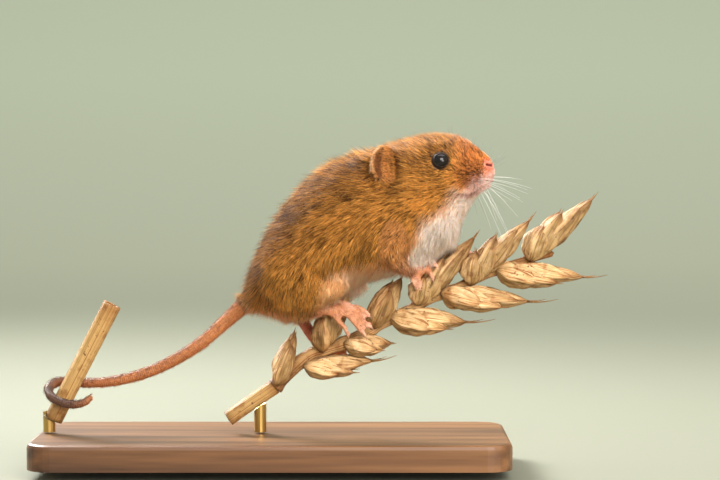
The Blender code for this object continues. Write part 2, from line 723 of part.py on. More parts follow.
def tail_lengths():
    """The tail in three lengths that meet face to face."""
    rows = smooth_rows(TAIL, TAIL_RINGS)
    steps = np.linalg.norm(np.diff(rows[:, :3], axis=0), axis=1)
    half_gap = GAP / 2 / steps.sum()
    along = np.concatenate([[0.0], np.cumsum(steps)]) / steps.sum()
    spans = {
        "tail_root": (0.0, TAIL_ROOT_END - half_gap),
        "tail_middle": (TAIL_ROOT_END + half_gap, TAIL_MIDDLE_END - half_gap),
        "tail_curl": (TAIL_MIDDLE_END + half_gap, 1.0),
    }
    made = []
    for name, (start, end) in spans.items():
        rings = max(4, round((end - start) * TAIL_RINGS))
        shares = np.linspace(start, end, rings)
        piece = np.stack([np.interp(shares, along, column) for column in rows.T], axis=1)
        made.append(to_object(name, tube(piece, TAIL_SIDES, rings, (False, name == "tail_curl"))))
    return made


def finish(made, material):
    made.data.transform(Matrix.Scale(METRES_PER_MM, 4))
    made.data.materials.clear()
    made.data.materials.append(material)
    made.data.shade_smooth()
    made.data.set_sharp_from_angle(angle=math.radians(42))


def build():
    clear_scene()
    fur = make_material("fur", FUR, 0.85)
    skin = make_material("bare skin", SKIN, 0.6)
    straw = make_material("ripe straw", STRAW, 0.65)
    brass = make_material("brushed brass", BRASS, 0.35, 1.0)
    oak = make_material("oiled oak", OAK, 0.55)
    black = make_material("eye", EYE_BLACK, 0.08)

    surface = BodySurface()
    limbs = {
        "leg_hind_right": lambda grow: limb_shapes(THIGH_RIGHT, SHANK_RIGHT, True, grow),
        "leg_hind_left": lambda grow: limb_shapes(THIGH_LEFT, SHANK_LEFT, True, grow),
        "leg_fore_right": lambda grow: limb_shapes(SHOULDER_RIGHT, ARM_RIGHT, False, grow),
        "leg_fore_left": lambda grow: limb_shapes(SHOULDER_LEFT, ARM_LEFT, False, grow),
    }
    paws = {
        "foot_right": lambda grow: paw_shapes(FOOT_RIGHT, TOES_RIGHT, grow),
        "foot_left": lambda grow: paw_shapes(FOOT_LEFT, TOES_LEFT, grow),
        "hand_right": lambda grow: paw_shapes(HAND_RIGHT, FINGERS_RIGHT, grow),
        "hand_left": lambda grow: paw_shapes(HAND_LEFT, FINGERS_LEFT, grow),
    }
    limb_room = [shape for make in limbs.values() for shape in make(GAP)]
    paw_room = [shape for make in paws.values() for shape in make(GAP)]

    room = limb_room + paw_room
    torso = carve(body_length("torso", front=NECK_BACK), room + [tail_seat()])
    neck = carve(body_length("neck", NECK_BACK, NECK_FRONT), room)
    furred = [torso, neck, make_head(surface)]
    for name, make in limbs.items():
        furred.append(carve(fuse(name, make(0.0)), paw_room))
    bare = [fuse(name, make(0.0)) for name, make in paws.items()]
    bare += tail_lengths()
    eyes = []
    for side, word in ((NEAR, "right"), (FAR, "left")):
        furred.append(to_object(f"ear_{word}", ear_shape(surface, side)))
        eyes.append(make_eye(surface, side, f"eye_{word}"))

    stalk = to_object("perch_stalk", stalk_shape())
    stem = to_object("perch_stem", stem_shape())
    perch = [make_perch_ear(room), stem, stalk]
    base, *rods = make_stand()

    for group, material in ((furred, fur), (bare, skin), (eyes, black), (perch, straw)):
        for made in group:
            finish(made, material)
    finish(base, oak)
    for rod in rods:
        finish(rod, brass)


build()
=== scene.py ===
"""The finished look of a life-size harvest mouse model on a cut length of an ear of wheat.

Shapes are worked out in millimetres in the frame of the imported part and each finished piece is
scaled to metres. One skin takes the place of the solids of flesh, and the coat grows on it.
"""

import math

import bmesh
import bpy
import numpy as np
from mathutils import Matrix, Vector
from mathutils.bvhtree import BVHTree


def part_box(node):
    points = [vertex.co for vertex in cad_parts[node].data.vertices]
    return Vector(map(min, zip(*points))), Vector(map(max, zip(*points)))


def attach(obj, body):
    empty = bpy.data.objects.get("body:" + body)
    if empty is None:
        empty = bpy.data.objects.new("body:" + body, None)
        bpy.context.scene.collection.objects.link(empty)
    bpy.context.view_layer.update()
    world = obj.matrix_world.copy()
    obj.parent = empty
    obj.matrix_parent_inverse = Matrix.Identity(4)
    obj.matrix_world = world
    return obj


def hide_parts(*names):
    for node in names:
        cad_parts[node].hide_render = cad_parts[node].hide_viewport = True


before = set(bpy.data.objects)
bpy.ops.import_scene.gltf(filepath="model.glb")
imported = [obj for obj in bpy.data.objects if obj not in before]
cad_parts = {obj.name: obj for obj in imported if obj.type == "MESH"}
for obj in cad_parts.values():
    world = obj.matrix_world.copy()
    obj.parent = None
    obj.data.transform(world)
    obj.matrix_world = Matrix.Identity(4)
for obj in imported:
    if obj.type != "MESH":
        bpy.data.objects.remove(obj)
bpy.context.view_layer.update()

METRES_PER_MM = 0.001
NEAR = -1
FAR = 1
RANDOM_SEED = 11

# Skin
VOXEL = 0.36
LEGS = ("leg_hind_right", "leg_hind_left", "leg_fore_right", "leg_fore_left")
FURRED = ("torso", "neck", "head") + LEGS
EARS = ("ear_right", "ear_left")
PAWS = ("foot_right", "foot_left", "hand_right", "hand_left")
TAIL_NODES = ("tail_root", "tail_middle", "tail_curl")
FLESH = FURRED + EARS + PAWS + TAIL_NODES
BODY_GROW = 0.2
COAT_DEPTH = {"torso": 0.85, "neck": 0.8, "head": 0.55, "leg_hind_right": 0.45, "leg_hind_left": 0.45,
              "leg_fore_right": 0.35, "leg_fore_left": 0.35, "ear_right": 0.1, "ear_left": 0.1}

# Head
EYE_RADIUS = 1.58
LID_OPENING = (1.34, 1.24)
MOUTH = ((35.2, 51.8), (36.2, 52.2), (38.2, 52.2), (40.0, 52.8), (41.5, 53.5), (42.7, 54.1))
NOSTRIL = ((42.7, 0.75, 57.3), (41.75, 1.4, 57.5))
NOSE = (42.9, 0.0, 57.35)
EAR_WIDTH = 3.0
EAR_HEIGHT = 3.5
EAR_FACING = (0.50, -0.85, 0.12)
EAR_LEAN = (-0.22, 0.0, 0.97)
EAR_SPREAD = 1.1
EAR_SHIFT = (-0.35, 0.0, 0.1)

# Where the belly's colour starts, as x, z down the side from the chin to the tail
BELLY_LINE = (
    (-6.0, 30.6), (-4.2, 30.9), (0.4, 30.4), (3.8, 29.3), (8.0, 29.2), (9.3, 32.0), (10.2, 35.5),
    (11.8, 38.0), (16.2, 39.0), (21.3, 38.8), (23.6, 38.6), (25.4, 40.0), (26.6, 42.2), (28.5, 45.2),
    (31.9, 48.5), (34.6, 51.0), (36.6, 52.6), (39.9, 54.0), (44.0, 56.3),
)

# The tail's middle from rump to tip, and the last two points of every digit
TAIL = (
    (-4.7, 0.0, 30.8), (-8.6, 0.2, 27.4), (-13.3, 0.4, 23.1), (-18.1, 0.8, 19.9), (-22.8, 1.3, 17.5),
    (-27.6, 1.9, 15.8), (-32.3, 2.6, 14.8), (-36.2, 3.2, 14.5), (-39.6, 3.3, 14.7), (-42.4, 2.2, 14.8),
    (-43.7, 0.0, 13.9), (-43.0, -2.2, 12.5), (-40.7, -3.2, 11.4), (-38.0, -3.1, 11.0), (-36.3, -2.6, 11.4),
    (-35.4, -2.2, 12.2),
)
DIGIT_ENDS = (
    ((14.1, -3.4, 30.9), (15.1, -3.4, 30.4)), ((17.7, -3.9, 29.5), (18.8, -3.8, 28.5)),
    ((18.2, -4.3, 26.9), (19.2, -4.1, 26.2)), ((16.9, -4.8, 26.0), (17.9, -4.5, 24.8)),
    ((14.3, -5.1, 26.0), (14.7, -4.8, 24.9)), ((31.1, -3.1, 38.7), (31.9, -3.1, 37.9)),
    ((30.7, -4.0, 36.6), (31.1, -3.8, 35.6)), ((28.6, -4.3, 34.9), (28.7, -4.1, 34.1)),
    ((27.3, -4.5, 35.1), (27.5, -4.3, 34.6)), ((10.4, 3.6, 23.3), (11.2, 3.6, 22.6)),
    ((12.6, 4.2, 22.6), (13.9, 4.1, 21.8)), ((13.0, 4.8, 21.2), (14.2, 4.5, 20.1)),
    ((12.0, 5.1, 19.9), (12.9, 4.8, 18.8)), ((9.9, 5.3, 19.7), (10.3, 5.0, 18.7)),
    ((38.4, 2.4, 40.6), (39.0, 2.3, 39.8)), ((38.5, 3.2, 38.9), (38.9, 3.1, 37.9)),
    ((37.3, 3.6, 37.7), (37.5, 3.4, 36.8)), ((35.7, 3.8, 37.7), (35.9, 3.6, 37.0)),
)

# The lie of the coat: x, z and the direction in which the hair points there
LIE = (
    (42.0, 59.0, -0.85, 0.52), (38.0, 60.8, -0.72, 0.69), (35.6, 59.0, -0.55, 0.83),
    (33.0, 61.5, -0.72, 0.69), (29.0, 60.5, -0.82, 0.57), (24.0, 60.0, -0.93, 0.2),
    (39.0, 56.0, -0.97, -0.05), (34.0, 54.6, -0.97, -0.2), (28.0, 55.0, -0.99, 0.05),
    (27.0, 51.0, -0.93, -0.35), (38.0, 52.0, -0.7, -0.7), (33.0, 47.0, -0.45, -0.89),
    (20.0, 52.0, -0.86, -0.5), (24.0, 46.0, -0.75, -0.66), (14.0, 54.0, -0.84, -0.54),
    (14.0, 47.0, -0.8, -0.6), (18.0, 41.0, -0.45, -0.89), (6.0, 50.0, -0.72, -0.69),
    (5.0, 42.0, -0.62, -0.78), (9.0, 38.0, -0.35, -0.94), (0.0, 41.0, -0.5, -0.87),
    (-3.0, 34.0, -0.55, -0.83), (28.0, 42.0, -0.25, -0.97), (2.0, 32.0, -0.1, -0.99),
)

# Perch: stem, rachis and stalk as x, z points, and the spikelets as in the part's solids
STEM = ((-8.6, 7.9), (-4.8, 10.6), (-1.5, 12.8), (0.5, 14.15))
STEM_RADIUS = 1.5
RACHIS = (
    (0.5, 14.15), (3.4, 17.0), (7.6, 20.6), (13.3, 22.4), (20.9, 26.2), (29.4, 30.6), (38.0, 34.4),
    (46.9, 38.1), (54.4, 40.2),
)
RACHIS_RADII = (1.45, 0.75)
STALK_TOP = (-31.2, 30.2)
STALK_BOTTOM = (-42.8, 7.7)
STALK_RADIUS = 1.78

# Foot x, z, glume tip x, z, lemma tip x, z, width, and the length of the awn
SPIKELETS = (
    ((0.6, 14.2), (3.9, 22.6), (4.3, 24.9), 3.7, 0.8), ((6.0, 18.4), (13.2, 16.9), (19.6, 19.2), 3.9, 4.6),
    ((9.8, 20.8), (9.6, 28.0), (14.8, 32.4), 4.2, 0.8),
    ((13.8, 22.8), (20.4, 21.6), (23.2, 22.6), 4.1, 1.0),
    ((19.2, 25.4), (22.9, 33.4), (25.2, 35.4), 4.7, 1.0),
    ((22.8, 28.0), (31.2, 25.6), (37.8, 26.8), 5.0, 5.6),
    ((28.2, 30.0), (29.6, 35.8), (39.4, 43.4), 4.7, 1.6),
    ((32.6, 32.6), (41.0, 30.4), (50.0, 30.8), 4.8, 5.6),
    ((38.6, 34.0), (39.6, 40.6), (50.0, 46.6), 4.7, 2.0),
    ((43.4, 37.2), (51.6, 34.6), (60.6, 35.6), 4.8, 4.6),
    ((50.0, 38.6), (52.6, 45.6), (62.2, 50.8), 4.7, 1.6),
)
HUSK_SIDES = 30
HUSK_RINGS = 15
HUSK_BROADEST = 0.38
HUSK_MARGIN = 4.4
GLUME_SHOULDER = 2.6
LEMMA_SHOULDER = 1.7
AWN_RADIUS = 0.2
STRAW_RINGS = 40
STRAW_SIDES = 36
STRAW_HOLLOW = 0.62

# The scales inside the glumes: where each starts and ends along the spikelet, its shift sideways,
# its width, and the y of its tip
LEMMAS = (
    (0.10, 0.42, 0.62, 1.0, 2.25), (0.22, 0.76, -0.3, 0.9, 1.7), (0.36, 1.0, 0.0, 0.78, 1.15),
)

# Coat pieces: name and where each ends along the body
COAT_PARTS = (
    ("rump", 3.0), ("haunch", 8.5), ("flank", 14.5), ("shoulder", 21.0), ("neck", 27.5), ("cheek", 32.5),
    ("face", 60.0),
)

# The middle of the back's height, as x places and their z
RIDGE = ((-5, 10, 30, 40), (36, 52, 59, 58))

# How the coat grows: per square millimetre, width in millimetres, length and lift
BODY_COAT = {"Tuft per area": 20.5, "Tuft width": 0.16, "Hair per area": 49.0, "Hair width": 0.07}
FACE_COAT = {"Tuft per area": 34.0, "Tuft width": 0.10, "Hair per area": 78.0, "Hair width": 0.055}
COAT_STANCE = {"Tuft length": 1.0, "Tuft lift": 0.42, "Hair length": 1.22, "Hair lift": 0.6}
JITTER = 0.16
DARK_HAIR = 0.2
FULLY_TICKED = 0.12
BAKE_PATCH = 0.003

# Whiskers: the rise of each row in degrees, and the ones above the eyes as x, z, rise and length
WHISKER_ROWS = (74, 42, 4, -28, -56)
WHISKER_COLUMNS = 4
BROW_WHISKERS = (
    (33.6, 60.6, 118, 4.0), (35.2, 60.3, 98, 5.5), (37.0, 60.0, 84, 4.5), (38.4, 59.6, 72, 4.0),
    (30.4, 56.4, 150, 2.5),
)
DARK_WHISKER = 0.026
WHITE_WHISKER = 0.032

# Eyeballs
BALL_AROUND = 40
BALL_RINGS = 24

# Backdrop in metres as y, z, and the lamps as name, place, size, watts, tone and spread in degrees
BACKDROP = ((-1.6, 0.0), (0.3, 0.0), (0.7, 0.03), (1.05, 0.13), (1.3, 0.32), (1.42, 0.6), (1.46, 2.6))
BACKDROP_HALF_WIDTH = 3.6
SKY_TONE = (0.98, 0.98, 0.95, 1.0)
SKY_STRENGTH = 0.62
LAMP_AIM = (0.02, 0.0, 0.045)
LAMPS = (
    ("overhead", (0.1, 0.3, 1.15), (1.3, 1.1), 10.0, (1.0, 0.99, 0.97), 180),
    ("front", (0.35, -0.95, 0.6), (0.8, 0.6), 14.5, (1.0, 0.97, 0.93), 180),
    ("fill", (0.5, -0.75, 0.06), (0.5, 0.35), 4.6, (1.0, 0.94, 0.9), 180),
    ("rim", (-0.28, 0.34, 0.34), (0.25, 0.25), 1.1, (1.0, 1.0, 1.0), 60),
)

# Camera: what it looks at, how wide the picture is there in metres, and how far it looks down
CAMERA_LENS = 105.0
CAMERA_SENSOR = 36.0
CAMERA_LOOK = (0.0171, 0.0, 0.0428)
PICTURE_WIDTH = 0.1368 * 1.025
CAMERA_TILT = 2.5


def colour(red, green, blue):
    """A linear colour from display values of 0 to 255."""
    values = np.array([red, green, blue]) / 255.0
    return np.where(values <= 0.04045, values / 12.92, ((values + 0.055) / 1.055) ** 2.4)


BACK_ORANGE = colour(243, 168, 73)
BACK_BROWN = colour(213, 144, 60)
BELLY_BUFF = colour(236, 202, 162)
CHEST_CREAM = colour(255, 240, 222)


def unit(vectors):
    vectors = np.asarray(vectors, float)
    return vectors / np.maximum(np.linalg.norm(vectors, axis=-1, keepdims=True), 1e-9)


def smooth_step(values, start, end):
    share = np.clip((values - start) / (end - start), 0.0, 1.0)
    return share * share * (3.0 - 2.0 * share)


def smooth_rows(rows, count):
    """Reads count rows, evenly spaced, off a smooth curve through the given rows."""
    rows = np.asarray(rows, float)
    padded = np.vstack([2 * rows[0] - rows[1], rows, 2 * rows[-1] - rows[-2]])
    fine = []
    for i in range(1, len(padded) - 2):
        a, b, c, d = padded[i - 1 : i + 3]
        for t in np.linspace(0.0, 1.0, 16, endpoint=False):
            fine.append(0.5 * (2 * b + (c - a) * t + (2 * a - 5 * b + 4 * c - d) * t**2
                               + (3 * b - a - 3 * c + d) * t**3))
    fine.append(rows[-1])
    fine = np.array(fine)
    along = np.concatenate([[0.0], np.cumsum(np.linalg.norm(np.diff(fine, axis=0), axis=1))])
    wanted = np.linspace(0.0, along[-1], count)
    return np.stack([np.interp(wanted, along, column) for column in fine.T], axis=1)


def noise(points, size, seed=0):
    """A smooth random value of about -1 to 1 at each point, that varies over the given size."""
    phases = np.random.default_rng(seed)
    total = np.zeros(len(points))
    for _ in range(6):
        direction = unit(phases.normal(size=3)) * 2 * math.pi / (size * phases.uniform(0.7, 1.6))
        total += np.sin(points @ direction + phases.uniform(0, 2 * math.pi))
    return total / 2.45


def points_of(data):
    co = np.empty(len(data.vertices) * 3, np.float32)
    data.vertices.foreach_get("co", co)
    return co.reshape(-1, 3).astype(float)


def normals_of(data):
    normals = np.empty(len(data.vertices) * 3, np.float32)
    data.vertices.foreach_get("normal", normals)
    return normals.reshape(-1, 3).astype(float)


def edges_of(data):
    edges = np.empty(len(data.edges) * 2, np.int32)
    data.edges.foreach_get("vertices", edges)
    return edges.reshape(-1, 2)


def set_points(data, points):
    data.vertices.foreach_set("co", np.asarray(points, np.float32).ravel())
    data.update()


def soften(values, edges, rounds, share=0.5):
    """Moves each point's value towards the mean of its neighbours."""
    values = np.array(values, float)
    flat = values.ndim == 1
    columns = values[:, None] if flat else values
    count = len(columns)
    a, b = edges[:, 0], edges[:, 1]
    degree = np.maximum(np.bincount(a, minlength=count) + np.bincount(b, minlength=count), 1)
    for _ in range(rounds):
        for c in range(columns.shape[1]):
            column = columns[:, c]
            total = np.bincount(a, column[b], count) + np.bincount(b, column[a], count)
            columns[:, c] = column + share * (total / degree - column)
    return columns[:, 0] if flat else columns


def link(name, data):
    made = bpy.data.objects.new(name, data)
    bpy.context.scene.collection.objects.link(made)
    return made


def to_object(name, points, faces):
    data = bpy.data.meshes.new(name)
    data.from_pydata([tuple(p) for p in points], [], faces)
    data.update()
    return link(name, data)


def store(data, name, values, kind="FLOAT"):
    """Keeps one value or colour for each point of a mesh."""
    layer = data.attributes.new(name, kind, "POINT")
    values = np.asarray(values, np.float32)
    if kind == "FLOAT_COLOR":
        values = np.concatenate([values, np.ones((len(values), 1), np.float32)], axis=1)
        layer.data.foreach_set("color", values.ravel())
    elif kind == "FLOAT_VECTOR":
        layer.data.foreach_set("vector", values.ravel())
    else:
        layer.data.foreach_set("value", values)


def finish_piece(made, material, replaced=()):
    """Scales a finished piece to metres and hangs it on the part's one body."""
    made.data.transform(Matrix.Scale(METRES_PER_MM, 4))
    made.data.materials.clear()
    made.data.materials.append(material)
    made.data.shade_smooth()
    made.data.update()
    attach(made, "root")
    if replaced:
        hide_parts(*replaced)
    return made


def add(tree, kind, inputs=None, **settings):
    """Adds a node, sets it up, and fills or links its inputs."""
    node = tree.nodes.new(kind)
    for name, value in settings.items():
        setattr(node, name, value)
    for key, value in (inputs or {}).items():
        if isinstance(value, bpy.types.NodeSocket):
            tree.links.new(value, node.inputs[key])
        else:
            node.inputs[key].default_value = value
    return node


def new_material(name, **values):
    """A material with its shader's own values set, and its tree and shader for more."""
    material = bpy.data.materials.new(name)
    material.use_nodes = True
    tree = material.node_tree
    shader = tree.nodes["Principled BSDF"]
    for key, value in values.items():
        shader.inputs[key.replace("_", " ").title().replace("Ior", "IOR")].default_value = value
    return material, tree, shader


def ramp(tree, factor, stops):
    """A colour ramp through (place, colour) stops."""
    node = add(tree, "ShaderNodeValToRGB", {"Fac": factor})
    elements = node.color_ramp.elements
    while len(elements) < len(stops):
        elements.new(0.5)
    for element, (place, tone) in zip(elements, stops):
        element.position = place
        element.color = (*tone, 1.0)
    return node.outputs["Color"]


def bump(tree, height, strength, distance):
    inputs = {"Height": height, "Strength": strength, "Distance": distance * METRES_PER_MM}
    return add(tree, "ShaderNodeBump", inputs).outputs["Normal"]


def object_noise(tree, scale, detail=2.0, stretch=(1.0, 1.0, 1.0)):
    place = add(tree, "ShaderNodeTexCoord").outputs["Object"]
    mapped = add(tree, "ShaderNodeMapping", {"Vector": place, "Scale": stretch}).outputs["Vector"]
    inputs = {"Vector": mapped, "Scale": scale, "Detail": detail}
    return add(tree, "ShaderNodeTexNoise", inputs).outputs["Fac"]


# Skin


def grown_copy(name, grow):
    """A node's merged mesh in millimetres, grown along its normals."""
    mesh = bmesh.new()
    mesh.from_mesh(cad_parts[name].data)
    bmesh.ops.scale(mesh, vec=(1 / METRES_PER_MM,) * 3, verts=mesh.verts)
    bmesh.ops.remove_doubles(mesh, verts=mesh.verts, dist=0.002)
    bmesh.ops.recalc_face_normals(mesh, faces=mesh.faces)
    mesh.normal_update()
    moves = [v.normal * grow for v in mesh.verts]
    for v, move in zip(mesh.verts, moves):
        v.co += move
    return mesh


def ear_frame(side):
    facing = unit((EAR_FACING[0], -side * EAR_FACING[1], EAR_FACING[2]))
    height = np.array(EAR_LEAN)
    height = unit(height - facing * np.dot(height, facing))
    return np.cross(height, facing), height, facing


def centre_of(name):
    low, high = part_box(name)
    return np.array((low + high) / 2) / METRES_PER_MM


def joined_flesh():
    """All the flesh as overlapping closed meshes in one object."""
    joined = bmesh.new()

    def take(mesh, matrix=None):
        data = bpy.data.meshes.new("take")
        if matrix is not None:
            bmesh.ops.transform(mesh, matrix=matrix, verts=mesh.verts)
        mesh.to_mesh(data)
        mesh.free()
        joined.from_mesh(data)
        bpy.data.meshes.remove(data)

    for name in FURRED + PAWS + TAIL_NODES:
        take(grown_copy(name, BODY_GROW))
    for name in ("eye_right", "eye_left"):
        take(grown_copy(name, BODY_GROW + 0.2))
    for side, name in ((NEAR, "ear_right"), (FAR, "ear_left")):
        centre = Vector(centre_of(name))
        facing = Vector(ear_frame(side)[2])
        wider = Matrix.Translation(centre + Vector(EAR_SHIFT)) @ Matrix.Scale(EAR_SPREAD, 4)
        take(grown_copy(name, 0.05), wider @ Matrix.Translation(-centre))
        for share in (0.35, 0.7, 1.0, 1.3):
            back = Matrix.Translation(centre - facing * share) @ Matrix.Scale(0.82, 4)
            take(grown_copy(name, 0.1), back @ Matrix.Translation(-centre))
    data = bpy.data.meshes.new("flesh")
    joined.to_mesh(data)
    joined.free()
    return link("flesh", data)


def remeshed(made, voxel):
    """The outer surface of overlapping meshes as one even net of squares."""
    modifier = made.modifiers.new("one surface", "REMESH")
    modifier.mode = "VOXEL"
    modifier.voxel_size = voxel
    graph = bpy.context.evaluated_depsgraph_get()
    data = bpy.data.meshes.new_from_object(made.evaluated_get(graph))
    bpy.data.objects.remove(made, do_unlink=True)
    return data


def largest_surface(data):
    """Drops every loose surface but the largest."""
    edges = edges_of(data)
    label = np.arange(len(data.vertices))
    while True:
        lowest = np.minimum(label[edges[:, 0]], label[edges[:, 1]])
        before = label.copy()
        np.minimum.at(label, edges[:, 0], lowest)
        np.minimum.at(label, edges[:, 1], lowest)
        label = label[label]
        if (before == label).all():
            break
    biggest = np.bincount(label).argmax()
    mesh = bmesh.new()
    mesh.from_mesh(data)
    mesh.verts.ensure_lookup_table()
    spare = [mesh.verts[i] for i in np.flatnonzero(label != biggest)]
    bmesh.ops.delete(mesh, geom=spare, context="VERTS")
    mesh.to_mesh(data)
    mesh.free()


class Flesh:
    """Tells which node of flesh is nearest to each point."""

    def __init__(self):
        points, faces, self.owner = [], [], []
        for number, name in enumerate(FLESH):
            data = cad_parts[name].data
            start = len(points)
            points += [v.co / METRES_PER_MM for v in data.vertices]
            for polygon in data.polygons:
                faces.append([start + i for i in polygon.vertices])
                self.owner.append(number)
        self.tree = BVHTree.FromPolygons(points, faces)

    def labels(self, points):
        return np.array([self.owner[self.tree.find_nearest(p)[2]] for p in points])


def split_fine(data, chosen):
    """Splits in four the faces whose points are all chosen."""
    mesh = bmesh.new()
    mesh.from_mesh(data)
    mesh.verts.ensure_lookup_table()
    edges = [e for e in mesh.edges if chosen[e.verts[0].index] and chosen[e.verts[1].index]]
    bmesh.ops.subdivide_edges(mesh, edges=edges, cuts=1, use_grid_fill=True, smooth=0.0)
    mesh.to_mesh(data)
    mesh.free()
    data.update()


def eye_space(points, side):
    """The way the eye faces, and each point's place across it, up it and out from its centre."""
    centre = centre_of("eye_right" if side == NEAR else "eye_left")
    outward = unit((0.12, side, 0.22))
    across = unit(np.cross(outward, (0.0, 0.0, 1.0))) * -side
    upward = unit(np.cross(across, outward)) * side
    if upward[2] < 0:
        upward = -upward
    if across[0] < 0:
        across = -across
    offset = points - centre
    return outward, offset @ across, offset @ upward, offset @ outward


def sculpt_lids(points):
    """Draws the skin over the rim of each eyeball, and under it inside the opening."""
    for side in (NEAR, FAR):
        outward, u, v, height = eye_space(points, side)
        reach = np.hypot(u / LID_OPENING[0], v / LID_OPENING[1])
        out = np.hypot(u, v)
        near = (out < 2.6) & (height > -0.6)
        ball = np.sqrt(np.maximum(EYE_RADIUS**2 - out**2, 0.0))
        lid = ball + 0.13 + 0.05 * (v > 0)
        share = smooth_step(reach, 1.0, 1.75)
        outer = lid * (1 - share) + height * share
        inner = ball - 0.35
        edge = smooth_step(reach, 0.93, 1.0)
        wanted = inner * (1 - edge) + outer * edge
        move = np.where(near, wanted - height, 0.0) * (1 - smooth_step(out, 2.2, 2.6))
        points = points + move[:, None] * outward
    return points


def sink_ear_fronts(points, labels):
    """Sinks the front edge of each ear, so that the coat of the head runs over it."""
    for side, name in ((NEAR, "ear_right"), (FAR, "ear_left")):
        width, _, facing = ear_frame(side)
        ahead = width * math.copysign(1.0, width[0])
        forward = (points - centre_of(name)) @ ahead / EAR_WIDTH
        share = smooth_step(forward, 0.1, 1.0) * (labels == FLESH.index(name))
        points = points - facing * (1.2 * share)[:, None]
    return points


def line_height(xs, line):
    """The height of a line at each x, and how much longer its slope makes a step along it."""
    line = np.array(line)
    heights = np.interp(xs, line[:, 0], line[:, 1])
    slope = np.interp(xs + 0.1, line[:, 0], line[:, 1]) - np.interp(xs - 0.1, line[:, 0], line[:, 1])
    return heights, np.sqrt(1 + (slope / 0.2) ** 2)


def above(points, line):
    """How far each point lies above a line drawn on the side of the animal."""
    heights, stretch = line_height(points[:, 0], line)
    return (points[:, 2] - heights) / stretch


def nose_reach(points):
    """How far each point is from the tip of the nose, and from the slit of the nearer nostril."""
    start, end = (np.array(place) for place in NOSTRIL)
    tip = np.linalg.norm(points - np.array(NOSE), axis=1)
    folded = np.column_stack([points[:, 0], np.abs(points[:, 1]), points[:, 2]]) - start
    share = (folded @ (end - start) / ((end - start) ** 2).sum()).clip(0.0, 1.0)
    aside = folded - share[:, None] * (end - start)
    outward = unit(np.cross(end - start, (0.0, 0.0, 1.0)))
    aside -= 0.8 * (aside @ outward)[:, None] * outward
    return tip, np.linalg.norm(aside, axis=1)


def pinch_nose(points):
    """Narrows the end of the snout to the nose, and leaves the whisker pads below it wide."""
    x, y, z = points.T
    share = smooth_step(x, 39.3, 42.0) * smooth_step(z, 55.2, 56.8)
    return np.column_stack([x, y * (1.0 - 0.45 * share), z])


def sculpt_muzzle(points, normals):
    """The mouth's groove and lips, the nostrils and the whisker pads."""
    x, y, z = points.T
    on_muzzle = smooth_step(x, 35.2, 36.6)
    off = above(points, MOUTH)
    groove = -0.22 * np.exp(-((off / 0.12) ** 2))
    lips = 0.07 * np.exp(-(((np.abs(off) - 0.42) / 0.26) ** 2))
    move = (groove + lips) * on_muzzle
    pad = np.exp(-(((x - 39.4) / 1.7) ** 2) - ((z - 55.0) / 1.25) ** 2)
    move += 0.28 * pad * smooth_step(np.abs(y), 0.3, 1.6)
    split = np.exp(-((y / 0.16) ** 2)) * smooth_step(x, 41.8, 42.6)
    split = split * (off > 0) * smooth_step(58.2 - z, 0.0, 0.6)
    move -= 0.2 * split
    _, slit = nose_reach(points)
    on_nose = smooth_step(x, 40.6, 41.3)
    move += on_nose * (0.1 * np.exp(-(((slit - 0.48) / 0.18) ** 2)) - 0.5 * np.exp(-((slit / 0.19) ** 2)))
    return points + normals * move[:, None]


def over_ridge(points, low, high):
    """A share that grows from the flank to the middle of the back."""
    return smooth_step(points[:, 2] - np.interp(points[:, 0], *RIDGE), low, high)


def ground_tones(points, labels, fine):
    """Orange back, browner along its middle, and a belly from buff to the chest's cream."""
    x = points[:, 0]
    grain = noise(points, 3.2, 3)
    off = above(points, BELLY_LINE) + 0.45 * grain + 0.35 * fine
    below = 1 - smooth_step(off, -1.7, 1.5)
    below *= 1 - 0.55 * (labels == FLESH.index("leg_hind_right"))
    height = over_ridge(points, -9.0, 6.0)
    back = BACK_ORANGE + (BACK_BROWN - BACK_ORANGE) * (0.55 * height + 0.12 * grain)[:, None].clip(0, 1)
    chest = smooth_step(x, 20.0, 28.0)[:, None]
    belly = BELLY_BUFF * (1 - chest) + CHEST_CREAM * chest
    return back * (1 - below[:, None]) + belly * below[:, None]


class Paint:
    """The colour at each point of the skin, laid on one marking after another."""

    def __init__(self, points, labels, normals):
        self.points = points
        self.normals = normals
        self.fine = noise(points, 0.9, 4)
        self.on = {name: labels == number for number, name in enumerate(FLESH)}
        self.tones = ground_tones(points, labels, self.fine)

    def lay(self, tone, share):
        share = np.clip(share, 0, 1)[:, None]
        self.tones = self.tones * (1 - share) + tone * share


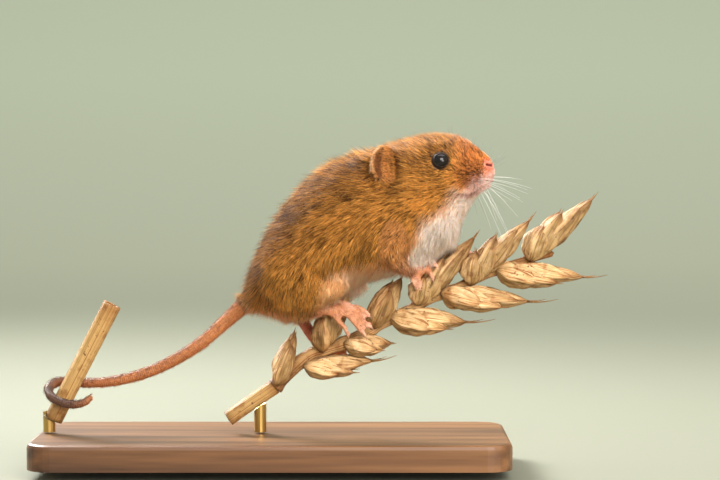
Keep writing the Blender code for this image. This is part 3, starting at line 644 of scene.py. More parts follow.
def mark_muzzle(paint):
    """The cheek's light patch, the whisker pad's dark rows, the lips, the chin, and painted shade along the
    crease of the mouth.
    """
    x, _, z = paint.points.T
    paint.lay(colour(226, 156, 66), 0.5 * np.exp(-(((x - 24.5) / 4.0) ** 2) - ((z - 51.5) / 2.2) ** 2))
    muzzle = smooth_step(x, 34.0, 38.0) * smooth_step(z, 52.5, 54.5)
    paint.lay(colour(236, 142, 66), 0.75 * muzzle)
    whisker_pad = np.exp(-(((x - 38.4) / 1.9) ** 2) - (((z - 55.6 - 0.2 * (x - 38.4)) / 1.3) ** 2))
    rows = 0.5 + 0.5 * np.cos(2 * math.pi * (z - 0.3 * x + 0.1 * paint.fine) / 0.85)
    paint.lay(colour(118, 58, 28), whisker_pad * (0.08 + 0.5 * rows))
    lip_edge = z - 53.5 - 0.5 * (x - 37) + 0.35 * paint.fine
    lip_rim = smooth_step(x, 36.4, 39.4) * (1 - smooth_step(lip_edge, 0.2, 1.5))
    paint.lay(colour(226, 150, 112), 0.7 * lip_rim)
    lip = smooth_step(x, 36.6, 39.0) * (1 - smooth_step(lip_edge, -0.9, 0.7))
    paint.lay(colour(222, 184, 164), lip)
    mouth_off = above(paint.points, MOUTH)
    chin = smooth_step(x, 36.0, 38.0) * (1 - smooth_step(mouth_off, -0.9, -0.3))
    paint.lay(CHEST_CREAM, chin)
    # Painted shade: a dark line laid along the crease of the mouth, under the upper lip.
    mouth = np.exp(-(((mouth_off + 0.1) / 0.3) ** 2)) * smooth_step(x, 35.0, 36.0)
    paint.lay(colour(138, 72, 56), 0.85 * (mouth * (1 - smooth_step(x, 38.0, 41.5))))


def mark_nose(paint):
    """The bare pink nose, and painted shade in the slits of the nostrils."""
    x = paint.points[:, 0]
    tip, slit = nose_reach(paint.points)
    bare_nose = smooth_step(x, 39.9, 40.9) * (1 - smooth_step(np.minimum(tip, slit + 0.35), 0.9, 1.7))
    paint.lay(colour(218, 134, 110), 0.95 * bare_nose)
    # Painted shade: the dark laid in the slit of each nostril.
    paint.lay(colour(122, 46, 40), smooth_step(x, 40.8, 41.3) * (1 - smooth_step(slit, 0.12, 0.32)))


def mark_lids(paint):
    """The dark rims of the lids."""
    for side in (NEAR, FAR):
        _, u, v, high = eye_space(paint.points, side)
        ring = (1 - smooth_step(np.hypot(u, v), 1.7, 2.05)) * (high > -0.4)
        paint.lay(colour(38, 26, 20), ring)


def mark_ears(paint):
    """Orange ears, with painted shadow in the back of each hollow under its rim, and a pale rim."""
    for side, name in ((NEAR, "ear_right"), (FAR, "ear_left")):
        width, up, facing = ear_frame(side)
        offset = (paint.points - centre_of(name) - np.array(EAR_SHIFT)) / EAR_SPREAD
        backward = -offset @ width / EAR_WIDTH * math.copysign(1.0, width[0])
        rise = offset @ up / EAR_HEIGHT
        round_ear = np.hypot(backward, rise)
        inside = smooth_step(paint.normals @ facing, -0.1, 0.4)
        behind = smooth_step(backward + 0.25 * rise, 0.1, 0.55)
        cup_shadow = paint.on[name] * inside * behind * (1 - smooth_step(round_ear, 0.84, 0.97))
        edge = smooth_step(round_ear, 0.95, 1.02) * smooth_step(backward + 0.9 * rise, 0.5, 1.1)
        paint.lay(colour(206, 142, 74), paint.on[name] * 0.9)
        # Painted shadow inside the back of the ear, under its rim.
        paint.lay(colour(122, 66, 32), cup_shadow * 0.8)
        paint.lay(colour(240, 200, 152), paint.on[name] * edge * 0.8)


def mark_limbs(paint):
    """Legs, the cream of the inner thigh, pink hands and feet, and the furred ankle."""
    x, _, z = paint.points.T
    wrist = smooth_step(39.6 - z, 0.0, 2.2)
    paint.lay(colour(216, 150, 84), 0.85 * paint.on["leg_fore_right"])
    paint.lay(colour(206, 132, 84), 0.6 * paint.on["leg_fore_right"] * wrist)
    paint.lay(colour(232, 180, 144), 0.75 * paint.on["leg_fore_left"])
    inner_thigh = smooth_step(x, 13.0, 16.0) * (1 - smooth_step(z, 36.5, 38.5))
    paint.lay(CHEST_CREAM, 0.8 * paint.on["leg_hind_left"] * inner_thigh)
    tip = digit_reach(paint.points)
    for name, tone in (("foot_right", (198, 134, 94)), ("foot_left", (212, 132, 106)),
                       ("hand_right", (202, 134, 92)), ("hand_left", (228, 158, 130))):
        paint.lay(colour(*tone), paint.on[name].astype(float))
        paint.lay(colour(240, 190, 164), paint.on[name] * 0.6 * (1 - smooth_step(tip, 0.3, 2.2)))
    ankle = paint.on["foot_right"] * (1 - smooth_step(x + 0.6 * paint.fine, 7.8, 9.8))
    paint.lay(colour(176, 112, 56), 0.85 * ankle)


def mark_tail(paint):
    """The tail, lighter at its root, darker above and at its curl."""
    x, y, _ = paint.points.T
    tail = (paint.on["tail_root"] | paint.on["tail_middle"] | paint.on["tail_curl"]).astype(float)
    paint.lay(colour(182, 116, 68), tail)
    paint.lay(colour(204, 138, 84), tail * smooth_step(x, -16.0, -6.0) * 0.5)
    upper = smooth_step(paint.normals[:, 2] + 0.3 * paint.fine, 0.4, 0.9)
    paint.lay(colour(104, 74, 58), tail * upper * 0.75)
    curl = smooth_step(-x, 33.0, 40.0) * (0.6 + 0.3 * smooth_step(0.5 - y, 0.0, 2.0))
    paint.lay(colour(74, 54, 44), tail * curl)


def skin_markings(points, labels, normals):
    """The colour of the coat at each point, and of the bare skin."""
    paint = Paint(points, labels, normals)
    for mark in (mark_muzzle, mark_nose, mark_lids, mark_ears, mark_limbs, mark_tail):
        mark(paint)
    return paint.tones


def digit_reach(points):
    """How far each point is from the nearest end of a digit."""
    tips = np.array([last for _, last in DIGIT_ENDS])
    reach = np.full(len(points), 99.0)
    for tip in tips:
        reach = np.minimum(reach, np.linalg.norm(points - tip, axis=1))
    return reach


def tail_place(points):
    """How far along the tail each point is, and which way the tail runs there."""
    middle = smooth_rows(TAIL, 160)
    ahead = unit(np.gradient(middle, axis=0))
    along = np.concatenate([[0.0], np.cumsum(np.linalg.norm(np.diff(middle, axis=0), axis=1))])
    gaps = np.linalg.norm(points[:, None, :] - middle[None, :, :], axis=2)
    nearest = gaps.argmin(axis=1)
    offset = ((points - middle[nearest]) * ahead[nearest]).sum(axis=1)
    return along[nearest] + offset, ahead[nearest]


def ticking_of(points, labels):
    """The share of dark hairs at each point."""
    x, _, z = points.T
    share = 0.17 + 0.15 * over_ridge(points, -8.0, 4.0) + 0.05 * noise(points, 5.0, 8)
    share -= 0.06 * smooth_step(x, 20.0, 30.0)
    share += 0.08 * smooth_step(x, 24.0, 32.0) * smooth_step(z, 58.5, 61.5)
    share *= smooth_step(above(points, BELLY_LINE), -0.5, 1.5)
    share *= 1 - smooth_step(x, 40.4, 41.6)
    for name, even in (("leg_fore_right", 0.06), ("leg_fore_left", 0.02), ("ear_right", 0.04),
                       ("ear_left", 0.04)):
        share = np.where(labels == FLESH.index(name), even, share)
    return share.clip(0.0, 1.0)


def lie_of(points, labels, normals):
    """The direction in which the hair points, along the skin."""
    anchors = np.array(LIE)
    gaps = ((points[:, None, (0, 2)] - anchors[None, :, :2]) ** 2).sum(axis=2) + 0.5
    weights = 1.0 / gaps**1.6
    flat = weights @ anchors[:, 2:] / weights.sum(axis=1)[:, None]
    lie = np.stack([flat[:, 0], np.zeros(len(points)), flat[:, 1]], axis=1)
    for number, name in enumerate(FLESH):
        chosen = labels == number
        if name.startswith("leg_hind"):
            low = smooth_step(36.0 - points[:, 2], 0.0, 6.0)[:, None]
            lie = np.where(chosen[:, None], lie * (1 - low) + np.array([-0.1, 0.0, -0.99]) * low, lie)
        elif name.startswith("leg_fore"):
            low = smooth_step(43.0 - points[:, 2], 0.0, 4.0)[:, None]
            lie = np.where(chosen[:, None], lie * (1 - low) + np.array([0.45, 0.0, -0.88]) * low, lie)
        elif name.startswith("tail"):
            lie[chosen] = tail_place(points[chosen])[1]
        elif name.startswith(("hand", "foot")):
            lie[chosen] = (0.8, 0.0, -0.5)
    inward = normals * (lie * normals).sum(axis=1)[:, None]
    return unit(lie - inward)


def smooth_limbs(points, labels, edges):
    """How far the joins of the limbs with the body are smoothed at each point."""
    share = np.zeros(len(points))
    for name, lowest in (("torso", 0.0), ("neck", 0.0), ("leg_hind_right", 31.2), ("leg_hind_left", 33.5),
                         ("leg_fore_right", 41.5), ("leg_fore_left", 42.5)):
        share = np.where((labels == FLESH.index(name)) & (points[:, 2] > lowest), 1.0, share)
    return soften(share, edges, 12)[:, None] ** 2


def skin_net():
    """An even net over all the flesh, smoothed and drawn in by the coat's depth, and its flesh."""
    data = remeshed(joined_flesh(), VOXEL)
    largest_surface(data)
    edges = edges_of(data)
    points = points_of(data)
    for _ in range(4):
        points = soften(points, edges, 1, 0.6)
        points = soften(points, edges, 1, -0.62)
    flesh = Flesh()
    labels = flesh.labels(points)
    thick = smooth_limbs(points, labels, edges)
    points = points * (1 - thick) + soften(points, edges, 90) * thick
    snout = smooth_step(points[:, 0], 37.0, 39.0)[:, None]
    points = pinch_nose(points * (1 - snout) + soften(points, edges, 6) * snout)
    set_points(data, points)
    points = sink_ear_fronts(points, labels)
    depth = np.array([COAT_DEPTH.get(name, 0.0) for name in FLESH])[labels]
    grown = np.array([0.05 if name in EARS else BODY_GROW for name in FLESH])[labels]
    depth *= 1 - 0.85 * smooth_step(points[:, 0], 30.5, 36.5)
    depth = soften(depth + grown, edges, 14)
    points = points - normals_of(data) * depth[:, None]
    set_points(data, soften(points, edges, 2, 0.4))
    return data, flesh


def near_detail(points, level):
    """Chooses the muzzle and the skin round the eyes, less of them at level 1 than at 0."""
    x, _, z = points.T
    chosen = (x > 35.5 + 3 * level) & (z > 49.5)
    for side in (NEAR, FAR):
        _, u, v, high = eye_space(points, side)
        chosen |= (np.hypot(u, v) < 2.7 - level * 0.5) & (high > -1.2)
    return chosen


def refine_head(data):
    """A finer net on the muzzle and round the eyes, with lids, lips and nostrils shaped in it."""
    for level in (0, 1):
        split_fine(data, near_detail(points_of(data), level))
    points = points_of(data)
    near = near_detail(points, 0).astype(float)[:, None]
    points = points * (1 - near) + soften(points, edges_of(data), 4) * near
    points = sculpt_lids(points)
    set_points(data, points)
    points = sculpt_muzzle(points, normals_of(data))
    set_points(data, points)
    return points


def make_skin():
    """One closed skin for all the flesh, with what the coat needs kept on its points."""
    data, flesh = skin_net()
    points = refine_head(data)
    edges = edges_of(data)
    normals = normals_of(data)
    labels = flesh.labels(points)
    skin = link("skin", data)
    tones = soften(skin_markings(points, labels, normals), edges, 1)
    store(data, "markings", tones, "FLOAT_COLOR")
    lie = unit(soften(lie_of(points, labels, normals), edges, 8))
    store(data, "lie", lie, "FLOAT_VECTOR")
    density, length = coat_growth(points, labels, edges)
    store(data, "density", density)
    store(data, "length", length)
    store(data, "part", coat_part(points))
    store(data, "ticking", soften(ticking_of(points, labels), edges, 4))
    on_tail = np.isin(labels, [FLESH.index(name) for name in TAIL_NODES])
    on_paw = np.isin(labels, [FLESH.index(name) for name in PAWS])
    ringed = digit_reach(points) * 1.3
    ringed[on_tail] = tail_place(points[on_tail])[0]
    store(data, "ringed", ringed)
    store(data, "bare", on_tail * 1.0 + on_paw * 0.7)
    unwrap(skin)
    return skin


def coat_growth(points, labels, edges):
    """How thickly the hair stands and how long it is, in millimetres."""
    x, _, z = points.T
    density = np.ones(len(points))
    length = np.full(len(points), 2.5)
    length += (1.7 - length) * smooth_step(x, 20.0, 29.0)
    length += (1.15 - length) * smooth_step(x, 31.0, 37.0)
    length += (0.6 - length) * smooth_step(x, 38.0, 41.0)
    off = above(points, BELLY_LINE)
    belly = (1 - smooth_step(off, -1.0, 1.0)) * (1 - smooth_step(x, 34.0, 37.0))
    length += (2.3 - length) * belly
    length += (0.5 - length) * smooth_step(x, 38.0, 40.5) * (1 - smooth_step(z, 55.0, 57.0))
    for number, name in enumerate(FLESH):
        chosen = labels == number
        if name.startswith("leg"):
            length[chosen] = np.minimum(length[chosen], 1.8)
        if name == "leg_fore_right":
            length[chosen] = 1.1
        if name.startswith("ear"):
            length[chosen] = 0.6
            density[chosen] = 1.5
        if name.startswith(("hand", "foot")):
            length[chosen] = 0.4
            density[chosen] = 0.05
        if name.startswith("tail"):
            length[chosen] = 0.55
            density[chosen] = 0.14
        if name == "foot_right":
            ankle = chosen * (1 - smooth_step(x, 8.0, 10.0))
            density += (0.8 - density) * ankle
            length += (0.8 - length) * ankle
        if name == "tail_root":
            near_rump = smooth_step(x, -10.0, -5.0)
            density = np.where(chosen, 0.14 + 0.6 * near_rump, density)
    density, length = soften(density, edges, 3), soften(length, edges, 10)
    tip, slit = nose_reach(points)
    bare_nose = smooth_step(x, 40.1, 40.9) * (1 - smooth_step(np.minimum(tip, slit + 0.5), 1.0, 1.6))
    mouth = np.exp(-((above(points, MOUTH) / 0.2) ** 2)) * smooth_step(x, 35.4, 36.6)
    density *= (1 - bare_nose) * (1 - 0.8 * mouth)
    density = np.where((x > 38.0) & (density > 0.3), density * 1.25, density)
    length += (0.38 - length) * smooth_step(x, 39.8, 41.6)
    length += 0.8 * np.exp(-(((x - 26.2) / 1.6) ** 2) - ((z - 57.0) / 3.0) ** 2)
    for side in (NEAR, FAR):
        _, u, v, high = eye_space(points, side)
        reach = np.where(high > -0.8, np.hypot(u, v), 9.0)
        density *= smooth_step(reach, 1.72, 1.96)
        length *= 0.4 + 0.6 * smooth_step(reach, 1.9, 3.4)
    return density, length


def coat_part(points):
    """The number of the coat piece that grows at each point."""
    ends = np.array([end for _, end in COAT_PARTS])
    place = points[:, 0] - 0.35 * (points[:, 2] - 45.0)
    part = np.searchsorted(ends, place)
    return part.clip(0, len(ends) - 1) * 2 + (points[:, 1] > 0)


def unwrap(made):
    """Unwraps the skin's own shape."""
    bpy.ops.object.select_all(action="DESELECT")
    made.select_set(True)
    bpy.context.view_layer.objects.active = made
    bpy.ops.object.mode_set(mode="EDIT")
    bpy.ops.mesh.select_all(action="SELECT")
    bpy.ops.uv.smart_project(angle_limit=math.radians(80), island_margin=0.001)
    bpy.ops.object.mode_set(mode="OBJECT")
    made.data.uv_layers[0].name = "unwrap"


# Coat


def spike(name, rows, bend):
    """A closed three-sided hair along Z, one unit long and wide, that bends over along X."""
    data = bpy.data.meshes.new(name)
    points, faces = [], [(2, 1, 0)]
    for height, size in rows:
        for corner in range(3):
            turn = 2 * math.pi * corner / 3
            lean = bend * height**2
            points.append((0.5 * size * math.cos(turn) + lean, 0.5 * size * math.sin(turn), height))
    tip = len(points)
    points.append((bend, 0.0, 1.0))
    for a in range(3):
        b = (a + 1) % 3
        for start in range(0, tip - 3, 3):
            faces.append((start + a, start + b, start + b + 3, start + a + 3))
        faces.append((tip - 3 + a, tip - 3 + b, tip))
    data.from_pydata(points, [], faces)
    data.update()
    made = link(name, data)
    store(data, "local", [(p[2], 0.3 * p[1], 0.0) for p in points], "FLOAT_VECTOR")
    store(data, "up_tuft", [p[2] for p in points])
    return made


class TreeMaker:
    """Adds the usual kinds of nodes to a tree and gives back what they put out."""

    def __init__(self, tree):
        self.tree = tree

    def named(self, name, kind):
        node = add(self.tree, "GeometryNodeInputNamedAttribute", {"Name": name}, data_type=kind)
        return node.outputs["Attribute"]

    def maths(self, operation, first, second):
        return add(self.tree, "ShaderNodeMath", {0: first, 1: second}, operation=operation).outputs[0]

    def join(self, operation, first, second):
        return add(self.tree, "ShaderNodeVectorMath", {0: first, 1: second}, operation=operation).outputs[0]

    def times(self, first, scale):
        inputs = {0: first, "Scale": scale}
        return add(self.tree, "ShaderNodeVectorMath", inputs, operation="SCALE").outputs[0]

    def random(self, low, high, seed):
        inputs = {2: low, 3: high, "Seed": seed}
        return add(self.tree, "FunctionNodeRandomValue", inputs, data_type="FLOAT").outputs[1]

    def clumps(self, scale):
        """A smooth random value over the skin. The scale is per millimetre."""
        place = add(self.tree, "GeometryNodeInputPosition").outputs[0]
        inputs = {"Vector": place, "Scale": scale, "Detail": 1.0}
        return add(self.tree, "ShaderNodeTexNoise", inputs).outputs

    def centred(self, value, size):
        return self.maths("MULTIPLY", self.maths("SUBTRACT", value, 0.5), size)

    def keep(self, geometry, name, value, kind="FLOAT", domain="POINT"):
        inputs = {"Geometry": geometry, "Name": name, "Value": value}
        settings = {"data_type": kind, "domain": domain}
        return add(self.tree, "GeometryNodeStoreNamedAttribute", inputs, **settings).outputs[0]


def coat_layer(maker, given, word, seed):
    """One layer of the coat: spikes of one kind, set along the lie of the hair."""
    tree = maker.tree
    here = add(tree, "FunctionNodeCompare", {2: maker.named("part", "INT"), 3: given["Part"]},
               data_type="INT", operation="EQUAL").outputs[0]
    thick = maker.maths("MULTIPLY", given[f"{word} per area"], maker.named("density", "FLOAT"))
    sown = add(tree, "GeometryNodeDistributePointsOnFaces",
               {"Mesh": given["Skin"], "Selection": here, "Density": thick,
                "Seed": maker.maths("ADD", given["Seed"], float(seed))}, distribute_method="RANDOM").outputs
    jitter = add(tree, "FunctionNodeRandomValue", {0: (-JITTER,) * 3, 1: (JITTER,) * 3, "Seed": seed + 1},
                 data_type="FLOAT_VECTOR").outputs[0]
    lock = maker.clumps(0.8)
    sway = maker.times(maker.join("SUBTRACT", lock["Color"], (0.5, 0.5, 0.5)), 0.7)
    raised = maker.maths("ADD", maker.random(0.3, 1.6, seed + 2), maker.centred(lock["Fac"], 0.9))
    lift = maker.maths("MULTIPLY", given[f"{word} lift"], raised)
    along = maker.join("ADD", maker.named("lie", "FLOAT_VECTOR"), maker.join("ADD", jitter, sway))
    ahead = maker.join("ADD", along, maker.times(sown["Normal"], lift))
    turn = add(tree, "FunctionNodeAxesToRotation",
               {"Primary Axis": ahead, "Secondary Axis": maker.times(sown["Normal"], -1.0)},
               primary_axis="Z", secondary_axis="X").outputs["Rotation"]
    ticking = maker.named("ticking", "FLOAT")
    varied = add(tree, "ShaderNodeMapRange", {0: ticking, 1: 0.0, 2: FULLY_TICKED, 3: 0.4, 4: 1.0}).outputs[0]
    patchy = maker.maths("ADD", maker.centred(maker.clumps(2.4)["Fac"], 1.8),
                         maker.centred(maker.clumps(0.35)["Fac"], 0.4))
    shade = maker.maths("SUBTRACT", maker.random(0.25, 1.15, seed + 5), ticking)
    shade = maker.maths("ADD", shade, maker.maths("MULTIPLY", patchy, varied))
    dark = maker.maths("LESS_THAN", shade, DARK_HAIR)
    longer = maker.maths("ADD", maker.random(0.65, 1.3, seed + 3), maker.maths("MULTIPLY", dark, 0.22))
    wider = maker.maths("ADD", maker.random(0.7, 1.4, seed + 4), maker.maths("MULTIPLY", dark, 0.3))
    tall = maker.maths("MULTIPLY", given[f"{word} length"], maker.named("length", "FLOAT"))
    tall = maker.maths("MULTIPLY", tall, longer)
    wide = maker.maths("MULTIPLY", given[f"{word} width"], wider)
    size = add(tree, "ShaderNodeCombineXYZ", {0: wide, 1: wide, 2: tall}).outputs[0]
    kept = maker.keep(sown["Points"], "shade", shade)
    kept = maker.keep(kept, "root_place", maker.named("unwrap", "FLOAT_VECTOR"), "FLOAT_VECTOR")
    shape = add(tree, "GeometryNodeObjectInfo", {"Object": given[word]}).outputs["Geometry"]
    placed = add(tree, "GeometryNodeInstanceOnPoints",
                 {"Points": kept, "Instance": shape, "Rotation": turn, "Scale": size}).outputs[0]
    return add(tree, "GeometryNodeRealizeInstances", {"Geometry": placed}).outputs[0]


def coat_tree():
    """Grows an undercoat of tufts and longer single hairs on the part that the inputs name."""
    tree = bpy.data.node_groups.new("coat", "GeometryNodeTree")
    sockets = tree.interface
    sockets.new_socket("Skin", in_out="INPUT", socket_type="NodeSocketGeometry")
    for name, kind in (("Part", "Int"), ("Seed", "Float"), ("Material", "Material")):
        sockets.new_socket(name, in_out="INPUT", socket_type=f"NodeSocket{kind}")
    for word in ("Tuft", "Hair"):
        sockets.new_socket(word, in_out="INPUT", socket_type="NodeSocketObject")
        for name in ("per area", "width", "length", "lift"):
            sockets.new_socket(f"{word} {name}", in_out="INPUT", socket_type="NodeSocketFloat")
    sockets.new_socket("Coat", in_out="OUTPUT", socket_type="NodeSocketGeometry")
    given = tree.nodes.new("NodeGroupInput").outputs
    maker = TreeMaker(tree)
    both = tree.nodes.new("GeometryNodeJoinGeometry")
    for word, seed in (("Tuft", 100), ("Hair", 200)):
        tree.links.new(coat_layer(maker, given, word, seed), both.inputs[0])
    patch = maker.join("ADD", maker.named("root_place", "FLOAT_VECTOR"),
                       maker.times(maker.named("local", "FLOAT_VECTOR"), BAKE_PATCH))
    mapped = maker.keep(both.outputs[0], "OFBake", patch, "FLOAT2", "CORNER")
    inputs = {"Geometry": mapped, "Material": given["Material"]}
    dressed = add(tree, "GeometryNodeSetMaterial", inputs).outputs[0]
    out = tree.nodes.new("NodeGroupOutput")
    tree.links.new(dressed, out.inputs["Coat"])
    return tree


def grow_coat(skin, tree, name, values):
    """Evaluates the coat tree on a copy of the skin and keeps the result as a plain mesh."""
    carrier = link("carrier", skin.data.copy())
    modifier = carrier.modifiers.new("coat", "NODES")
    modifier.node_group = tree
    for item in tree.interface.items_tree:
        if item.in_out == "INPUT" and item.name in values:
            modifier[item.identifier] = values[item.name]
    graph = bpy.context.evaluated_depsgraph_get()
    data = bpy.data.meshes.new_from_object(carrier.evaluated_get(graph))
    bpy.data.objects.remove(carrier, do_unlink=True)
    for spare in ("lie", "density", "length", "part", "root_place", "local", "unwrap", "ringed", "bare"):
        if spare in data.attributes:
            data.attributes.remove(data.attributes[spare])
    data.name = name
    return link(name, data)


def blended(tree, first, second, share=1.0, way="MULTIPLY"):
    """The first colour with the second laid over it, by default multiplied."""
    inputs = {0: share, 6: first, 7: second}
    return add(tree, "ShaderNodeMix", inputs, data_type="RGBA", blend_type=way).outputs[2]


def fur_material():
    material, tree, shader = new_material("fur", roughness=0.6, specular_ior_level=0.22)
    shader.inputs["Sheen Weight"].default_value = 0.05
    shader.inputs["Sheen Roughness"].default_value = 0.4
    marks, shade, grown, ticking = (add(tree, "ShaderNodeAttribute", attribute_name=name)
                                    for name in ("markings", "shade", "up_tuft", "ticking"))
    tone = ramp(tree, shade.outputs["Fac"],
                ((0.0, (0.10, 0.08, 0.08)), (0.2, (0.26, 0.21, 0.2)), (0.28, (0.78, 0.74, 0.72)),
                 (0.5, (0.98, 0.98, 0.98)), (0.75, (1.18, 1.2, 1.26)), (1.0, (1.42, 1.55, 1.9))))
    along = grown.outputs["Fac"]
    deep_root = ramp(tree, along, ((0.0, (0.32, 0.27, 0.25)), (0.4, (0.82, 0.78, 0.76)),
                                   (1.0, (1.14, 1.2, 1.36))))
    # Painted shade: pale fur is laid a warm darker tone at its roots, for the shadows between its strands.
    pale_root_shade = ramp(tree, along, ((0.0, (0.78, 0.62, 0.5)), (0.45, (1.04, 0.98, 0.93)),
                                   (1.0, (1.35, 1.33, 1.32))))
    rooted = add(tree, "ShaderNodeMapRange", {0: ticking.outputs["Fac"], 1: 0.0, 2: FULLY_TICKED}).outputs[0]
    root = blended(tree, pale_root_shade, deep_root, rooted, "MIX")
    mixed = blended(tree, marks.outputs["Color"], tone)
    tree.links.new(blended(tree, mixed, root), shader.inputs["Base Color"])
    return material


def skin_material():
    """Bare skin with creases round the digits and rings round the tail."""
    material, tree, shader = new_material("skin", roughness=0.5, specular_ior_level=0.4)
    marks, density, ringed, bare, ticking = (add(tree, "ShaderNodeAttribute", attribute_name=name)
                                             for name in ("markings", "density", "ringed", "bare", "ticking"))
    inputs = {0: ticking.outputs["Fac"], 1: 0.0, 2: FULLY_TICKED, 3: 0.3, 4: 1.0}
    shaded = add(tree, "ShaderNodeMapRange", inputs).outputs[0]
    mottled = ramp(tree, object_noise(tree, 1300.0, 4.0),
                   ((0.34, (0.72, 0.62, 0.56)), (0.5, (0.98, 0.96, 0.95)), (0.66, (1.16, 1.16, 1.16))))
    # Painted shade: the skin is laid darker where the coat over it is thick, less so under pale fur.
    under = ramp(tree, density.outputs["Fac"], ((0.1, (1.0, 1.0, 1.0)), (0.6, (0.5, 0.42, 0.36))))
    mixed = blended(tree, blended(tree, marks.outputs["Color"], mottled), under, shaded)
    turned = add(tree, "ShaderNodeMath", {0: ringed.outputs["Fac"], 1: 15.0}, operation="MULTIPLY").outputs[0]
    wave = add(tree, "ShaderNodeMath", {0: turned}, operation="SINE").outputs[0]
    rings = add(tree, "ShaderNodeMath", {0: wave, 1: bare.outputs["Fac"]}, operation="MULTIPLY").outputs[0]
    creased = ramp(tree, add(tree, "ShaderNodeMapRange", {0: rings, 1: -1.0, 2: 1.0}).outputs[0],
                   ((0.0, (0.72, 0.64, 0.6)), (0.4, (1.0, 1.0, 1.0))))
    tree.links.new(blended(tree, mixed, creased, 0.7), shader.inputs["Base Color"])
    grain = object_noise(tree, 2600.0, 3.0)
    height = add(tree, "ShaderNodeMath", {0: rings, 1: grain}, operation="ADD").outputs[0]
    tree.links.new(bump(tree, height, 0.7, 0.06), shader.inputs["Normal"])
    shader.inputs["Subsurface Weight"].default_value = 0.12
    shader.inputs["Subsurface Scale"].default_value = 0.0005
    shader.inputs["Subsurface Radius"].default_value = (1.0, 0.35, 0.2)
    return material


def make_coat(skin):
    """The coat in pieces from rump to face, on both sides."""
    tree = coat_tree()
    tuft = spike("tuft", ((0.0, 0.6), (0.5, 1.0)), 2.0)
    hair = spike("hair", ((0.0, 1.0),), 0.0)
    material = fur_material()
    share = 1.0
    for number, (word, _) in enumerate(COAT_PARTS):
        growth = {**COAT_STANCE, **(FACE_COAT if word == "face" else BODY_COAT)}
        for layer in ("Tuft", "Hair"):
            growth[f"{layer} per area"] *= share
        for side, hand in enumerate(("right", "left")):
            part = number * 2 + side
            values = {**growth, "Tuft": tuft, "Hair": hair, "Part": part, "Material": material,
                      "Seed": float(RANDOM_SEED + part)}
            piece = grow_coat(skin, tree, f"coat_{word}_{hand}", values)
            finish_piece(piece, material)
    for spare in (tuft, hair):
        bpy.data.objects.remove(spare, do_unlink=True)


# Eyes


def ball(centre, radius):
    """A round eyeball with its poles to the left and right."""
    points, faces = [], []
    for i in range(1, BALL_RINGS):
        tilt = math.pi * i / BALL_RINGS
        for j in range(BALL_AROUND):
            turn = 2 * math.pi * j / BALL_AROUND
            flat = math.sin(tilt)
            spoke = np.array([flat * math.cos(turn), math.cos(tilt), flat * math.sin(turn)])
            points.append(centre + radius * spoke)
    for i in range(BALL_RINGS - 2):
        for j in range(BALL_AROUND):
            a, b = i * BALL_AROUND + j, i * BALL_AROUND + (j + 1) % BALL_AROUND
            faces.append((a, a + BALL_AROUND, b + BALL_AROUND, b))
    first, last = len(points), len(points) + 1
    points += [centre + np.array([0, radius, 0]), centre - np.array([0, radius, 0])]
    base = (BALL_RINGS - 2) * BALL_AROUND
    for j in range(BALL_AROUND):
        after = (j + 1) % BALL_AROUND
        faces += [(first, j, after), (last, base + after, base + j)]
    return points, faces


def outward_faces(made):
    mesh = bmesh.new()
    mesh.from_mesh(made.data)
    bmesh.ops.recalc_face_normals(mesh, faces=mesh.faces)
    mesh.to_mesh(made.data)
    mesh.free()


def make_eyes():
    material, _, shader = new_material("eye", roughness=0.07, specular_ior_level=0.42)
    shader.inputs["Base Color"].default_value = (0.006, 0.004, 0.003, 1.0)
    for name in ("eye_right", "eye_left"):
        made = to_object(f"{name}_ball", *ball(centre_of(name), EYE_RADIUS))
        outward_faces(made)
        finish_piece(made, material, (name,))


# Claws, whiskers and wheat


def ring_faces(rings, sides):
    """Squares between the rings of points along a tube."""
    faces = []
    for i in range(rings - 1):
        for j in range(sides):
            a, b = i * sides + j, i * sides + (j + 1) % sides
            faces.append((a, b, b + sides, a + sides))
    return faces


def end_faces(pole, row, sides):
    """Triangles that close a tube's first or last ring with one point."""
    faces = []
    for j in range(sides):
        a, b = row * sides + j, row * sides + (j + 1) % sides
        faces.append((pole, b, a) if row == 0 else (pole, a, b))
    return faces


def tube(rows, sides):
    """A closed tube along x, y, z, radius rows, flat at its start and rounded at its end."""
    rows = np.asarray(rows, float)
    middle, radius = rows[:, :3], rows[:, 3]
    last = len(rows) - 1
    ahead = unit(np.gradient(middle, axis=0))
    across = unit(np.cross(ahead[0], (0.03, 1.0, 0.02)))
    turns = np.linspace(0.0, 2 * math.pi, sides, endpoint=False)
    points, marks = [], []
    for i, direction in enumerate(ahead):
        across = unit(across - direction * np.dot(across, direction))
        up = np.cross(direction, across)
        for t in turns:
            points.append(middle[i] + radius[i] * (math.cos(t) * across + math.sin(t) * up))
            marks.append((i / last, t, 1.0))
    faces = ring_faces(len(rows), sides)
    for row, out, roundness in ((0, -ahead[0], 0.0), (last, ahead[-1], 0.8)):
        faces += end_faces(len(points), row, sides)
        points.append(middle[row] + out * radius[row] * roundness)
        marks.append((row / last, 0.0, 1.0))
    return points, faces, marks


class Pile:
    """Gathers many small closed shapes into one mesh."""

    def __init__(self):
        self.points, self.faces, self.marks, self.pick = [], [], [], []

    def add(self, shape, pick):
        points, faces, marks = shape
        start = len(self.points)
        self.points += [tuple(p) for p in points]
        self.faces += [tuple(start + i for i in face) for face in faces]
        self.marks += marks
        self.pick += [pick] * len(points)

    def made(self, name):
        made = to_object(name, self.points, self.faces)
        marks = np.array(self.marks)
        store(made.data, "along", marks[:, 0])
        store(made.data, "lit_face", marks[:, 2])
        around = np.stack([np.cos(marks[:, 1]), np.sin(marks[:, 1]), np.array(self.pick) * 9.0], axis=1)
        store(made.data, "around", around, "FLOAT_VECTOR")
        store(made.data, "pick", self.pick)
        return made


